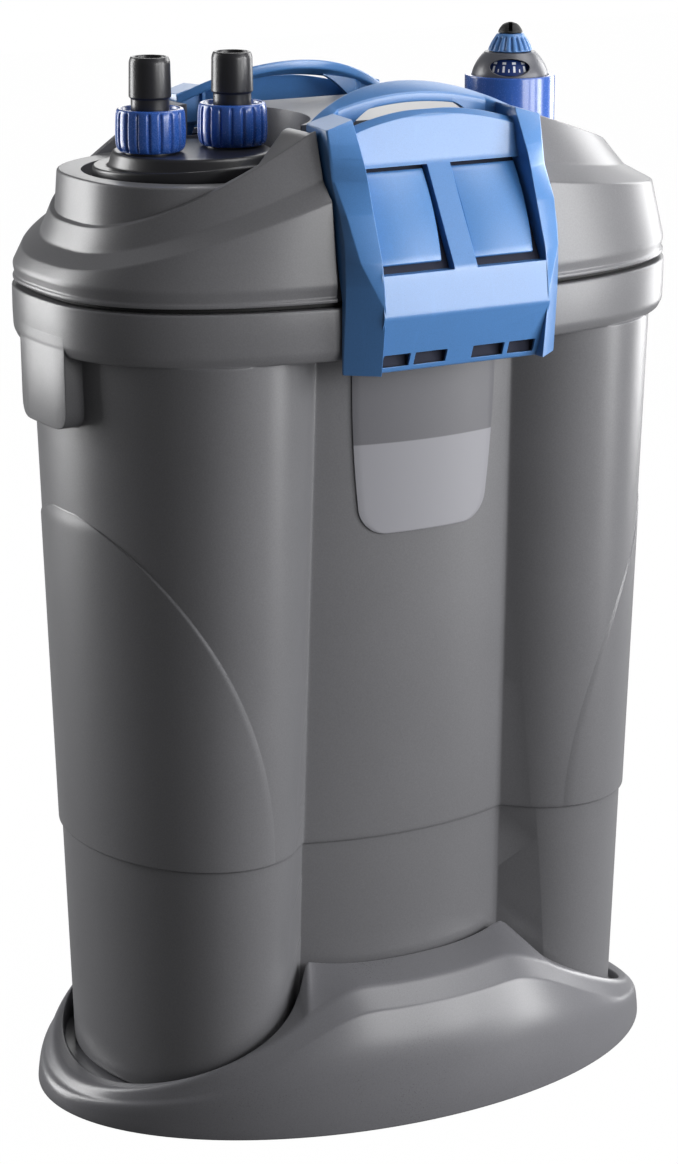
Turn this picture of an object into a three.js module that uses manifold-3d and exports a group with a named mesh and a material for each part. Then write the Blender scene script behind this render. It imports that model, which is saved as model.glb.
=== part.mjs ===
// Canister filter with a plug-in heater.
// Millimetres, +Z up. X runs along the long side, -Y is the front. The origin is on the
// floor, under the middle of the foot.

import * as THREE from 'three';
import { mergeVertices } from 'three/addons/utils/BufferGeometryUtils.js';
import Module from 'manifold-3d';

const wasm = await Module();
wasm.setup();

// ---- Fits ----
const seatGap = 0.3; // air between two pieces that seat on each other
const turnGap = 0.3; // radial air round a pin, a spigot or a shaft
const faceGap = 0.15; // air between flat faces that are pressed together
const through = 30; // how far a cutting tool runs past what it cuts

// ---- Foot ----
const footHalfLength = 157;
const footHalfDepth = 105.5;
const footFloor = 14; // top of the floor that the canister stands on
const footEndHeight = 15;
const footHornHeight = 70;
const footHumpHeight = 66;
const footLobeGap = 4.5; // between the foot's inner edge and a lobe
const footPanelGap = 2;
const footSink = 0.8; // the pads hold the foot this far off the floor
const footRimWidth = 11;
const footRecess = 8;
const footRib = 5;
const padRadius = 9;
const padPitchX = 2 * (footHalfLength - 64);
const padPitchY = 2 * (footHalfDepth - 35.5);
const padHeight = 4;

// ---- Canister ----
const lobeSpacing = 177;
const lobeHalfLength = 58.6;
const lobeHalfDepth = 79.7;
const panelHalfDepth = 70.3;
const panelRadius = 149;
const draft = 0.0325; // inward lean of the walls, mm per mm below the collar
const canisterHeight = 365;
const canisterWall = 3;
const canisterStep = 112; // height of the step above the canister's bottom
const canisterStepDepth = 1;
const canisterEdge = 5; // rounding of the bottom edge
const collarHeight = 23.3;
const collarRounding = 5;
const rimOverhangEnd = 7.9; // how far the collar stands out from a lobe's end
const rimOverhangSide = 11.3;
const rimSquareness = 2.66;
const lugWidth = 28;
const lugDrop = 34;
const lugThickness = 14;
const lugCorner = 7;
const labelHalfWidth = 36;
const labelBottom = 270;
const labelTop = 349;
const labelThickness = 0.8;

// ---- Rim seal ----
const sealGap = 0.2; // above and below the seal
const sealHeight = 2;
const sealWidth = 6;
const sealInset = 3;

// ---- Lid: heights are above the collar's top ----
const latchHalfOpening = 55.5;
const skirtLeft = 13.5;
const skirtMiddle = 45;
const skirtRight = 34.7;
const ledgeLeft = 17.5;
const ledgeMiddle = 53;
const ledgeRight = 41.2;
const ridgeLeft = 30.8;
const ridgeMiddle = 73.7;
const ridgeRight = 42.8;
const skirtInsetLeft = 4.3;
const skirtInsetMiddle = 5;
const skirtInsetRight = 6;
const ledgeInsetLeft = 12.5;
const ledgeInsetMiddle = 12.5;
const ledgeInsetRight = 19;
const ridgeInsetLeft = 16.5;
const ridgeInsetMiddle = 19;
const ridgeInsetRight = 28.5;
const finThickness = 3;
const crownHeight = 72; // flat top between the two latches
const plateHeight = 50.7; // flat top round the connector
const plateInsetFoot = 17.3;
const plateInsetTop = 20;
const lidWall = 9;
const lidCeiling = 36; // underside of the lid's top
const latchBayDepth = 41.5; // back wall of the bay that a latch lies in

// ---- Connector, turning about its own upright axis ----
const connectorX = 10.5 - lobeSpacing / 2; // a little inside the left lobe's axis
const wellRadius = 52;
const recessRadius = 49;
const recessDepth = 6;
const discRadius = 44;
const discRim = 7.5;
const rampRise = 4;
const hubRadius = 37;
const hubHeight = 14;
const stemRadius = 38;
const stemLength = 28;
const stemSealWidth = 2.2;
const stemGroove = 1.2;
const portSpacing = 40.7;
const portRadius = 7.4;
const stubRadius = 12;
const stubHeight = 10.5;
const gasketHeight = 1;

// ---- Hose nozzles and union nuts ----
const hoseRadius = 9.1;
const neckRadius = 8.2;
const boreRadius = 6.6;
const flangeRadius = 11.6;
const flangeHeight = 2.4;
const neckLength = 9.5;
const hoseLength = 17;
const nutRadius = 15.6;
const nutHeight = 18;
const nutLip = 4.2;
const nutRibs = 16;
const nutRibDepth = 0.9;

// ---- Heater ----
const heaterX = lobeSpacing / 2 - 0.1; // on the right lobe's axis
const sleeveRadius = 20.8;
const sleeveWall = 2.9;
const sleeveTop = 82; // above the collar's top
const sleeveFlangeRadius = 24;
const sleeveFlangeHeight = 4;
const sleeveLedge = 23; // depth of the ledge that the head rests on
const glassRadius = 15;
const glassLength = 290;
const glassWall = 1.4;
const headSocket = 9;
const domeHeight = 10.3;
const domeReach = 15.2; // height at which the dome's curve would close
const domeWall = 2;
const windowHalfWidth = 9.1;
const windowHalfHeight = 3.5;
const windowTurn = -124; // degrees from +X to the side that the window faces
const knobRadius = 10.2;
const knobTopRadius = 6;
const knobHeight = 8.3;
const knobRibs = 18;
const knobRibDepth = 0.7;
const knobNeckRadius = 6.6;
const glandRadius = 3.2;
const glandTipRadius = 5.6;
const glandTipHeight = 4.6;
const glandSlit = 1.8;

// ---- Latches: (y, z) places on the front latch, z above the collar's top ----
const latchHalfWidth = 54.3;
const railInner = 41.2;
const pivotY = -66;
const pivotZ = 67;
const pivotBoss = 7;
const pinRadius = 2.5;
const pinLength = 14;
const plateTop = [-74, 77.4];
const windowTop = [-79, 57.7];
const windowBottom = [-102.6, 15.3];
const plateCrease = [-104.9, -3.6];
const plateFoot = [-95.7, -28.8];
const latchPlate = 4;
const plateTopRise = 5.5;
const plateTopSlope = 0.55;
const mullionHalfWidth = 6;
const slotTop = -21.5;
const slotBottom = -27;
const slotSpans = [[7, 22], [25.3, 37.3]];
const hookReach = 86;
const hookTop = -25.1;
const railFoot = -28.8;
const railKink = 53.3; // height at which the rail's front face turns
const railMeet = -0.3; // height at which its side face has taken all of the front
const blockBackY = -58.8;
const railSplay = 20; // height at which the front face has nearly its full width
const railSideTop = 39.5; // height at which the side face turns into the lid's bay
const railLevels = [railFoot, -14, railMeet, 3.7, 10, 17.3, 28, railSideTop, 50, railKink, 59.5, 62, 68];
// Lines of [height, place] stops up the rail: the y of its inner front edge, the x and y of
// the edge where its front face turns, and the y of its outer front edge and of its back.
const railInnerLine = [
  [railFoot, -101.3], [railMeet, -104.9], [17.3, -102.9], [36.7, -95.5], [57.7, -88], [77.6, -76.6],
];
const railTurnXLine = [[railMeet, 41.5], [railSplay, 50.2], [railSideTop, 52.7], [74.3, 53.8]];
const railTurnYLine = [
  [railFoot, -101.1], [railMeet, -104.7], [railSplay, -98.6], [railSideTop, -91], [railKink, -81.6],
  [74.3, -77.1],
];
const railOuterLine = [
  [railFoot, -90.4], [railMeet, -92.5], [14, -92.9], [28, -91.6], [railSideTop, -87.8], [railKink, -80.8],
  [74.1, -76.4],
];
const railBackLine = [[3.7, -89.4], [17.3, -86], [50, -72.5], [59.5, -66], [62, blockBackY]];
const blockInnerTop = [-76.6, 77.8];
const blockOuterTop = [-77.1, 74.3];
const blockSideTop = [-76.4, 74.1];
const blockBackOuterZ = 75.2;
const blockBackInnerZ = 78.7;
const gripFrontY = -58;
const gripBackY = -45;
const gripFrontZ = 85;
const gripBackZ = 89.2;
const gripThickness = 4.4;
const gripFrontRadius = 136;
const gripBackRadius = 108;
const gripSweep = 14; // how far the grip's back edge comes forward at its ends
const webInner = 22;
const webBackY = -54.5;
const webFoot = 62;
const insertRecess = 2;
const insertThickness = 4;
const insertSideGap = 2.5;
const insertTopGap = 2.3;
const insertFootGap = 3.8;

// ---- Prefilter, media baskets and pump ----
const coreRadius = 12;
const coreWall = 2.5;
const coreFlangeRadius = 34;
const coreFlangeHeight = 4;
const foamRadius = 34;
const foamCount = 3;
const basketCount = 3;
const basketHeight = 108;
const basketWall = 2;
const basketGap = 2.5;
const basketFloor = 3;
const prefilterHole = 37;
const heaterHole = 19;
const mediaTopGap = 9;
const pumpX = 14;
const pumpBay = 34;
const pumpBayTop = 61.5;
const motorRadius = 33;
const motorHeight = 45;
const rotorBayRadius = 13.5;
const rotorBayDepth = 34;
const rotorRadius = 12.5;
const rotorHeight = 30;
const shaftRadius = 2.5;
const bushRadius = 5;
const bushHeight = 4;
const impellerRadius = 23;
const vaneCount = 6;
const vaneHeight = 11;
const vaneThickness = 2;
const coverWall = 3;
const coverInlet = 13;
const coverHeight = 20;

// ---- Facets ----
const lobeSteps = 14;
const panelSteps = 6;
const rimSteps = 44;
const turnSteps = 16;
const smallSteps = 12;

// ---- Sizes and heights that follow ----
const rimHalfLength = lobeSpacing / 2 + lobeHalfLength + rimOverhangEnd;
const rimHalfDepth = lobeHalfDepth + rimOverhangSide;
const canisterBottom = footFloor + seatGap;
const rimTop = canisterBottom + canisterHeight;
const collarBottom = rimTop - collarHeight;
const lidBottom = rimTop + sealHeight + 2 * sealGap;
const plateZ = rimTop + plateHeight;
const recessFloor = plateZ - recessDepth;
const discBottom = recessFloor + seatGap;
const sleeveTopZ = rimTop + sleeveTop;
const lidCeilingZ = rimTop + lidCeiling;
const stemSealRadius = stemRadius - stemGroove + seatGap + stemSealWidth / 2;
const stemBore = stemSealRadius + stemSealWidth / 2 + turnGap;

// ---- Colours ----
const bodyGrey = new THREE.MeshStandardMaterial({ color: 0x6e6e71, roughness: 0.55 });
const footGrey = new THREE.MeshStandardMaterial({ color: 0x5c5c5f, roughness: 0.45 });
const labelGrey = new THREE.MeshStandardMaterial({ color: 0x8c8c92, roughness: 0.5 });
const latchBlue = new THREE.MeshStandardMaterial({ color: 0x3f6fb0, roughness: 0.4 });
const insertBlue = new THREE.MeshStandardMaterial({ color: 0x4f80bd, roughness: 0.4 });
const nutBlue = new THREE.MeshStandardMaterial({ color: 0x2f55a4, roughness: 0.25 });
const glossBlack = new THREE.MeshStandardMaterial({ color: 0x1c1c1e, roughness: 0.15 });
const rubberBlack = new THREE.MeshStandardMaterial({ color: 0x151515, roughness: 0.8 });
const knobBlue = new THREE.MeshStandardMaterial({ color: 0x5b86bd, roughness: 0.35 });
const headGrey = new THREE.MeshStandardMaterial({ color: 0x4b4b4e, roughness: 0.5 });
const clearGlass = new THREE.MeshStandardMaterial({ color: 0xdfe8ea, roughness: 0.05 });
const foamBlue = new THREE.MeshStandardMaterial({ color: 0x3a4f78, roughness: 0.95 });
const foamOrange = new THREE.MeshStandardMaterial({ color: 0xc9632e, roughness: 0.95 });
const basketGrey = new THREE.MeshStandardMaterial({ color: 0x3c3c3f, roughness: 0.6 });
const pumpGrey = new THREE.MeshStandardMaterial({ color: 0x2b2b2d, roughness: 0.5 });
const ceramicWhite = new THREE.MeshStandardMaterial({ color: 0xeeeeea, roughness: 0.3 });
const steel = new THREE.MeshStandardMaterial({ color: 0xb9bcc0, roughness: 0.3, metalness: 1 });

// ---- Making and joining closed bodies ----

// A geometry with only positions, its shared corners merged and its faces turned outwards.
function closed(geometry) {
  const bare = geometry.clone();
  for (const name of Object.keys(bare.attributes)) {
    if (name !== 'position') bare.deleteAttribute(name);
  }
  const merged = mergeVertices(bare, 1e-4);
  if (volumeOf(merged) < 0) flip(merged);
  return merged;
}

function volumeOf(geometry) {
  const p = geometry.attributes.position;
  const index = geometry.index.array;
  const [a, b, c] = [new THREE.Vector3(), new THREE.Vector3(), new THREE.Vector3()];
  let sum = 0;
  for (let i = 0; i < index.length; i += 3) {
    a.fromBufferAttribute(p, index[i]);
    b.fromBufferAttribute(p, index[i + 1]);
    c.fromBufferAttribute(p, index[i + 2]);
    sum += a.dot(b.cross(c)) / 6;
  }
  return sum;
}

function flip(geometry) {
  const index = geometry.index.array;
  for (let i = 0; i < index.length; i += 3) {
    [index[i + 1], index[i + 2]] = [index[i + 2], index[i + 1]];
  }
}

function solid(geometry) {
  const body = closed(geometry);
  return new wasm.Manifold(new wasm.Mesh({
    numProp: 3,
    vertProperties: new Float32Array(body.attributes.position.array),
    triVerts: new Uint32Array(body.index.array),
  }));
}

function geometryOf(body) {
  const mesh = body.getMesh();
  const geometry = new THREE.BufferGeometry();
  geometry.setAttribute('position', new THREE.BufferAttribute(mesh.vertProperties, 3));
  geometry.setIndex(new THREE.BufferAttribute(mesh.triVerts, 1));
  return geometry;
}

const join = (first, ...more) =>
  geometryOf(more.reduce((sum, piece) => sum.add(solid(piece)), solid(first)));

const cut = (first, ...tools) =>
  geometryOf(tools.reduce((rest, tool) => rest.subtract(solid(tool)), solid(first)));

const common = (first, second) => geometryOf(solid(first).intersect(solid(second)));

const moved = (geometry, x, y, z) => geometry.clone().translate(x, y, z);

// A skin over rings of equal point counts, each ring anticlockwise about the way the chain
// runs, with a flat or ruled face over the first and the last ring.
function skin(rings, cap = earCap) {
  const count = rings[0].length;
  const positions = rings.flat(2);
  const index = [];
  for (let r = 0; r + 1 < rings.length; r += 1) {
    for (let i = 0; i < count; i += 1) {
      const a = r * count + i;
      const b = r * count + (i + 1) % count;
      index.push(a, b, b + count, a, b + count, a + count);
    }
  }
  for (const [a, b, c] of earCap(rings[0])) index.push(a, c, b);
  const last = (rings.length - 1) * count;
  for (const [a, b, c] of cap(rings.at(-1))) index.push(last + a, last + b, last + c);
  const geometry = new THREE.BufferGeometry();
  geometry.setAttribute('position', new THREE.Float32BufferAttribute(positions, 3));
  geometry.setIndex(index);
  return geometry;
}

// Triangles over a flat ring, seen from the side its points run anticlockwise about.
function earCap(ring) {
  const points = ring.map((p) => new THREE.Vector3(...p));
  const normal = new THREE.Vector3();
  points.forEach((p, i) => normal.add(p.clone().cross(points[(i + 1) % points.length])));
  normal.normalize();
  const across = Math.abs(normal.x) > 0.9 ? new THREE.Vector3(0, 1, 0) : new THREE.Vector3(1, 0, 0);
  const u = across.sub(normal.clone().multiplyScalar(across.dot(normal))).normalize();
  const v = normal.clone().cross(u);
  const flat = points.map((p) => new THREE.Vector2(p.dot(u), p.dot(v)));
  return THREE.ShapeUtils.triangulateShape(flat, []).map(([a, b, c]) => {
    const turn = flat[b].clone().sub(flat[a]).cross(flat[c].clone().sub(flat[a]));
    return turn > 0 ? [a, b, c] : [a, c, b];
  });
}

// Triangles across a ring that is its own mirror image in Y and starts at its +X end, in
// strips along Y, so that a ring whose height follows X gets a ruled top.
function ruledCap(ring) {
  const count = ring.length;
  const faces = [];
  for (let i = 0; i < count / 2; i += 1) {
    const near = (count - i) % count;
    const far = count - i - 1;
    if (i > 0) faces.push([i, i + 1, near]);
    if (i + 1 < count / 2) faces.push([near, i + 1, far]);
  }
  return faces;
}

// A body turned about Z from a profile of [radius, height] points.
function turned(profile, steps = turnSteps) {
  const points = profile.map(([r, z]) => new THREE.Vector2(r, z));
  return closed(new THREE.LatheGeometry(points, steps).rotateX(Math.PI / 2));
}

function tube(outer, inner, low, high, steps = turnSteps) {
  return turned([[inner, low], [outer, low], [outer, high], [inner, high], [inner, low]], steps);
}

function rod(radius, low, high, steps = turnSteps) {
  return turned([[0, low], [radius, low], [radius, high], [0, high]], steps);
}

// An outline of [y, z] points, drawn along X from one place to another.
function alongX(outline, from, to) {
  const shape = new THREE.Shape(outline.map(([y, z]) => new THREE.Vector2(y, z)));
  const bar = new THREE.ExtrudeGeometry(shape, { depth: to - from, bevelEnabled: false });
  const turn = new THREE.Matrix4().makeBasis(
    new THREE.Vector3(0, 1, 0),
    new THREE.Vector3(0, 0, 1),
    new THREE.Vector3(1, 0, 0),
  );
  return closed(bar.applyMatrix4(turn).translate(from, 0, 0));
}

// A shape in [x, y], drawn up Z from one height to another.
function alongZ(shape, from, to, curveSegments = 12) {
  const options = { depth: to - from, bevelEnabled: false, curveSegments };
  return closed(new THREE.ExtrudeGeometry(shape, options).translate(0, 0, from));
}

// A block between two corners.
function block(x0, x1, y0, y1, z0, z1) {
  const box = new THREE.BoxGeometry(x1 - x0, y1 - y0, z1 - z0);
  return closed(box.translate((x0 + x1) / 2, (y0 + y1) / 2, (z0 + z1) / 2));
}

const bothSides = (make) => [make(1), make(-1)];

// ---- Outlines ----

// How far the canister's wall leans in at a height.
const leanAt = (z) => draft * (collarBottom - z);

const panelDepthAt = (x, inset) =>
  panelHalfDepth - inset - panelRadius + Math.sqrt(panelRadius ** 2 - x ** 2);

// Where a lobe meets the middle panel, found by halving.
function creaseX(inset, panelInset) {
  const a = lobeHalfLength - inset;
  const b = lobeHalfDepth - inset;
  let low = lobeSpacing / 2 - a;
  let high = lobeSpacing / 2;
  for (let i = 0; i < 40; i += 1) {
    const x = (low + high) / 2;
    const lobe = b * Math.sqrt(Math.max(0, 1 - ((x - lobeSpacing / 2) / a) ** 2));
    if (lobe < panelDepthAt(x, panelInset)) low = x;
    else high = x;
  }
  return (low + high) / 2;
}

// The canister's section: two half ellipses joined by two shallow arcs.
function lobedRing(inset, height, panelInset = inset) {
  const a = lobeHalfLength - inset;
  const b = lobeHalfDepth - inset;
  const crease = creaseX(inset, panelInset);
  const reach = Math.acos((crease - lobeSpacing / 2) / a);
  const half = [];
  for (let i = 0; i < lobeSteps; i += 1) {
    const t = reach * (2 * i / lobeSteps - 1);
    half.push([lobeSpacing / 2 + a * Math.cos(t), b * Math.sin(t)]);
  }
  for (let i = 0; i < panelSteps; i += 1) {
    const x = crease * (1 - 2 * i / panelSteps);
    half.push([x, panelDepthAt(x, panelInset)]);
  }
  const ring = [...half, ...half.map(([x, y]) => [-x, -y])];
  return ring.map(([x, y]) => [x, y, typeof height === 'function' ? height(x) : height]);
}

// The same section with half its points, for what is out of sight.
const plainRing = (inset, z) => lobedRing(inset, z).filter((_, i) => i % 2 === 0);

// The rim's outline, a superellipse drawn in by an inset; inset and height may follow X.
function rimRing(inset, height) {
  const valueAt = (value, x) => (typeof value === 'function' ? value(x) : value);
  const power = 2 / rimSquareness;
  return Array.from({ length: rimSteps }, (_, i) => {
    const t = 2 * Math.PI * i / rimSteps;
    const u = Math.sign(Math.cos(t)) * Math.abs(Math.cos(t)) ** power;
    const v = Math.sign(Math.sin(t)) * Math.abs(Math.sin(t)) ** power;
    const drawn = valueAt(inset, u * rimHalfLength);
    const x = u * (rimHalfLength - drawn);
    return [x, v * (rimHalfDepth - drawn), valueAt(height, x)];
  });
}

// A value that runs from its left end to the latch opening, and on to its right end.
function alongLid(left, middle, right) {
  return (x) => {
    const end = x < 0 ? left : right;
    const share = (rimHalfLength - Math.abs(x)) / (rimHalfLength - latchHalfOpening);
    return end + (middle - end) * THREE.MathUtils.clamp(share, 0, 1);
  };
}

const aboveRim = (height) => (x) => rimTop + height(x);

// ---- Foot ----

// Height of the foot's inner edge: low at the ends, up to a horn in each crease, with the
// hump's flatter top between the horns.
function footEdgeHeight(x) {
  const horn = creaseX(leanAt(footHornHeight) - footPanelGap, leanAt(footHornHeight) - footPanelGap);
  const reach = Math.abs(x);
  if (reach < horn) return footHumpHeight + (footHornHeight - footHumpHeight) * (reach / horn) ** 4;
  const end = lobeSpacing / 2 + lobeHalfLength - leanAt(footFloor) + footLobeGap;
  const share = THREE.MathUtils.clamp((end - reach) / (end - horn), 0, 1);
  return footEndHeight + (footHornHeight - footEndHeight) * (0.75 * share ** 0.85 + 0.25 * share ** 9);
}

function makeFoot() {
  const lean = leanAt(footFloor);
  const inner = lobedRing(lean - footLobeGap, footEdgeHeight, lean - footPanelGap - 2);
  const end = Math.max(...inner.map(([x]) => x));
  const outerAt = ([x, y]) => {
    const u = x / end;
    return [footHalfLength * u, Math.sign(y) * footHalfDepth * Math.sqrt(Math.max(0, 1 - u * u))];
  };
  const wallRing = (share) => inner.map((p) => {
    const [ox, oy] = outerAt(p);
    const bulge = 2 + Math.abs(oy) / footHalfDepth;
    const rise = (1 - (1 - share) ** bulge) ** (1 / bulge);
    const height = Math.max(p[2], 1) * rise;
    return [ox + (p[0] - ox) * share, oy + (p[1] - oy) * share, Math.max(footSink, height)];
  });
  const shares = [0, 0.02, 0.08, 0.18, 0.32, 0.5, 0.7, 0.86, 1];
  const floor = inner.map(([x, y]) => [x, y, footFloor]);
  const shell = skin([...shares.map(wallRing), floor]);
  const rim = (inset) => {
    const shape = new THREE.Shape();
    shape.absellipse(0, 0, footHalfLength - inset, footHalfDepth - inset, 0, 2 * Math.PI);
    return shape;
  };
  const hollow = alongZ(rim(footRimWidth), footSink - 1, footRecess, 16);
  const ribs = [-1, 0, 1].map((side) => block(
    side * lobeSpacing / 2 - footRib / 2,
    side * lobeSpacing / 2 + footRib / 2,
    -footHalfDepth,
    footHalfDepth,
    footSink - 2,
    footRecess + 1,
  ));
  const longRib = block(
    -footHalfLength, footHalfLength, -footRib / 2, footRib / 2, footSink - 2, footRecess + 1,
  );
  const bosses = padPlaces().map(([x, y]) =>
    moved(rod(padRadius + 3, footSink - 2, footRecess + 1, smallSteps), x, y, 0));
  const sockets = padPlaces().map(([x, y]) =>
    moved(rod(padRadius + seatGap, -1, padHeight + seatGap, smallSteps), x, y, 0));
  return cut(shell, cut(hollow, ...ribs, longRib, ...bosses), ...sockets);
}

function padPlaces() {
  return [[-1, -1], [1, -1], [-1, 1], [1, 1]].map(([i, j]) => [i * padPitchX / 2, j * padPitchY / 2]);
}

const makePad = () => turned([
  [0, 0],
  [padRadius - 1, 0],
  [padRadius, 1],
  [padRadius, padHeight],
  [0, padHeight],
], smallSteps);

// ---- Canister ----

function makeCanister() {
  const ringAt = (z, more) => lobedRing(leanAt(z) + more, z);
  const stepZ = canisterBottom + canisterStep;
  const body = skin([
    ringAt(canisterBottom, canisterStepDepth + canisterEdge),
    ringAt(canisterBottom + canisterEdge * 0.3, canisterStepDepth + canisterEdge * 0.3),
    ringAt(canisterBottom + canisterEdge, canisterStepDepth),
    ringAt(stepZ - canisterStepDepth / 2, canisterStepDepth),
    ringAt(stepZ + canisterStepDepth / 2, 0),
    ringAt(collarBottom + collarRounding, 0),
  ]);
  const collar = skin([
    rimRing(collarRounding, collarBottom),
    rimRing(collarRounding * 0.3, collarBottom + collarRounding * 0.3),
    rimRing(0, collarBottom + collarRounding),
    rimRing(0, rimTop),
  ]);
  const floorZ = canisterBottom + canisterWall;
  const inside = skin([
    ringAt(floorZ, canisterStepDepth + canisterWall + canisterEdge * 0.6),
    ringAt(floorZ + canisterEdge * 0.6, canisterStepDepth + canisterWall),
    ringAt(stepZ, canisterStepDepth + canisterWall),
    ringAt(rimTop + 1, canisterWall),
  ]);
  return cut(join(body, collar, ...bothSides(makeLug)), inside);
}

// The hanging lug at one end: a tongue flush with the collar, with rounded lower corners.
function makeLug(side) {
  const half = lugWidth / 2;
  const low = collarBottom - lugDrop;
  const shape = new THREE.Shape();
  shape.moveTo(-half, collarBottom + collarRounding);
  shape.lineTo(-half, low + lugCorner);
  shape.quadraticCurveTo(-half, low, -half + lugCorner, low);
  shape.lineTo(half - lugCorner, low);
  shape.quadraticCurveTo(half, low, half, low + lugCorner);
  shape.lineTo(half, collarBottom + collarRounding);
  const bevel = 2;
  const tongue = new THREE.ExtrudeGeometry(shape, {
    depth: lugThickness - bevel,
    bevelThickness: bevel,
    bevelSize: bevel,
    bevelOffset: -bevel,
    bevelSegments: 2,
    curveSegments: 4,
  });
  const basis = new THREE.Matrix4().makeBasis(
    new THREE.Vector3(0, side, 0),
    new THREE.Vector3(0, 0, 1),
    new THREE.Vector3(side, 0, 0),
  );
  tongue.applyMatrix4(basis);
  return closed(tongue.translate(side * (rimHalfLength - lugThickness), 0, 0));
}

// The plain label plate, bent to the middle panel and set off it by the seat gap.
function makeLabel() {
  const corner = 12;
  const rows = [0, 0.12, 0.4, 1].map((s) => [labelBottom + corner * s,
    labelHalfWidth - 2.5 - corner * (1 - Math.sqrt(1 - (1 - s) ** 2))]);
  rows.push([labelTop, labelHalfWidth]);
  const columns = 8;
  return skin(rows.map(([z, half]) => {
    const line = (off) => Array.from({ length: columns + 1 }, (_, i) => {
      const x = half * (2 * i / columns - 1);
      return [x, -panelDepthAt(x, leanAt(z)) - off, z];
    });
    return [...line(seatGap + labelThickness), ...line(seatGap).reverse()];
  }));
}

function makeRimSeal() {
  const low = rimTop + sealGap;
  const outside = skin([rimRing(sealInset, low), rimRing(sealInset, low + sealHeight)]);
  const hole = sealInset + sealWidth;
  return cut(outside, skin([rimRing(hole, low - 1), rimRing(hole, low + sealHeight + 1)]));
}

// ---- Lid ----

function makeLid() {
  const skirtHeight = alongLid(skirtLeft, skirtMiddle, skirtRight);
  const ledgeHeight = alongLid(ledgeLeft, ledgeMiddle, ledgeRight);
  const ridgeHeight = alongLid(ridgeLeft, ridgeMiddle, ridgeRight);
  const ridgeInset = alongLid(ridgeInsetLeft, ridgeInsetMiddle, ridgeInsetRight);
  const tiers = skin([
    rimRing(2.5, lidBottom),
    rimRing(1, lidBottom + 1.5),
    rimRing(0.5, lidBottom + 5),
    rimRing(alongLid(skirtInsetLeft, skirtInsetMiddle, skirtInsetRight), aboveRim(skirtHeight)),
    rimRing(alongLid(ledgeInsetLeft, ledgeInsetMiddle, ledgeInsetRight), aboveRim(ledgeHeight)),
    rimRing(ridgeInset, aboveRim(ridgeHeight)),
    rimRing(
      (x) => ridgeInset(x) + finThickness,
      aboveRim((x) => Math.min(ridgeHeight(x), crownHeight)),
    ),
  ], ruledCap);
  const plate = common(
    skin([rimRing(plateInsetFoot, rimTop + skirtLeft), rimRing(plateInsetTop, plateZ)]),
    block(-rimHalfLength, 0, -rimHalfDepth, rimHalfDepth, rimTop, rimTop + crownHeight),
  );
  const inside = skin([
    rimRing(lidWall, lidBottom - 1),
    rimRing(lidWall + 3, rimTop + skirtLeft - 1),
    rimRing(ledgeInsetLeft + lidWall - 3, rimTop + ledgeLeft + 3),
    rimRing(ridgeInsetMiddle + lidWall - 2, lidCeilingZ),
  ]);
  const top = rimTop + crownHeight + through;
  return cut(
    join(tiers, plate),
    makeValley(top),
    moved(rod(recessRadius, recessFloor, top, 28), connectorX, 0, 0),
    moved(rod(stemBore, lidBottom, recessFloor + 1, 24), connectorX, 0, 0),
    ...bothSides((side) => latchBay(side, top)),
    ...bothSides((side) => lidPinHoles(side)).flat(),
    inside,
    moved(rod(pumpBay, lidBottom, rimTop + pumpBayTop), pumpX, 0, 0),
    moved(rod(sleeveRadius + seatGap, lidBottom, top, 20), heaterX, 0, 0),
  );
}

// The open space over the left plate: between the two fins, and round at the connector.
function makeValley(top) {
  const ridgeInset = alongLid(ridgeInsetLeft, ridgeInsetMiddle, ridgeInsetRight);
  const fin = rimRing((x) => ridgeInset(x) + finThickness, plateZ)
    .filter(([x]) => x < connectorX)
    .map(([x, y]) => [x, y]);
  const arc = [];
  const sweep = THREE.MathUtils.degToRad(70);
  const arcSteps = 14;
  for (let i = 0; i <= arcSteps; i += 1) {
    const t = sweep * (2 * i / arcSteps - 1);
    arc.push([connectorX + wellRadius * Math.cos(t), wellRadius * Math.sin(t)]);
  }
  const shape = new THREE.Shape([...arc, ...fin].map(([x, y]) => new THREE.Vector2(x, y)));
  return alongZ(shape, plateZ, top);
}

// The bay that a latch lies in: upright behind its foot, then sloped, then a deep back wall.
function latchBay(side, top) {
  const outline = [
    [-rimHalfDepth - through, top],
    [-latchBayDepth, top],
    [-latchBayDepth, rimTop + pivotZ - pivotBoss - 1.5],
    [pivotY + 1, rimTop + pivotZ - pivotBoss - 4.8],
    [windowBottom[0] + 18, rimTop + windowBottom[1] + 2],
    [-rimHalfDepth + 5, lidBottom - 1],
    [-rimHalfDepth - through, lidBottom - 1],
  ].map(([y, z]) => [y * side, z]);
  return alongX(outline, -latchHalfOpening, latchHalfOpening);
}

function pinBar(radius, side, from, to) {
  const bar = rod(radius, from, to, 16).rotateY(Math.PI / 2);
  return moved(bar, 0, side * pivotY, rimTop + pivotZ);
}

function lidPinHoles(side) {
  const end = latchHalfWidth + pinLength / 2 + seatGap;
  return [
    pinBar(pinRadius + turnGap, side, latchHalfOpening - 2, end),
    pinBar(pinRadius + turnGap, side, -end, -latchHalfOpening + 2),
  ];
}

// ---- Latch, modelled for the front; the rear one is the same piece turned half round ----

const onLatch = ([y, z]) => [y, rimTop + z];

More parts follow.
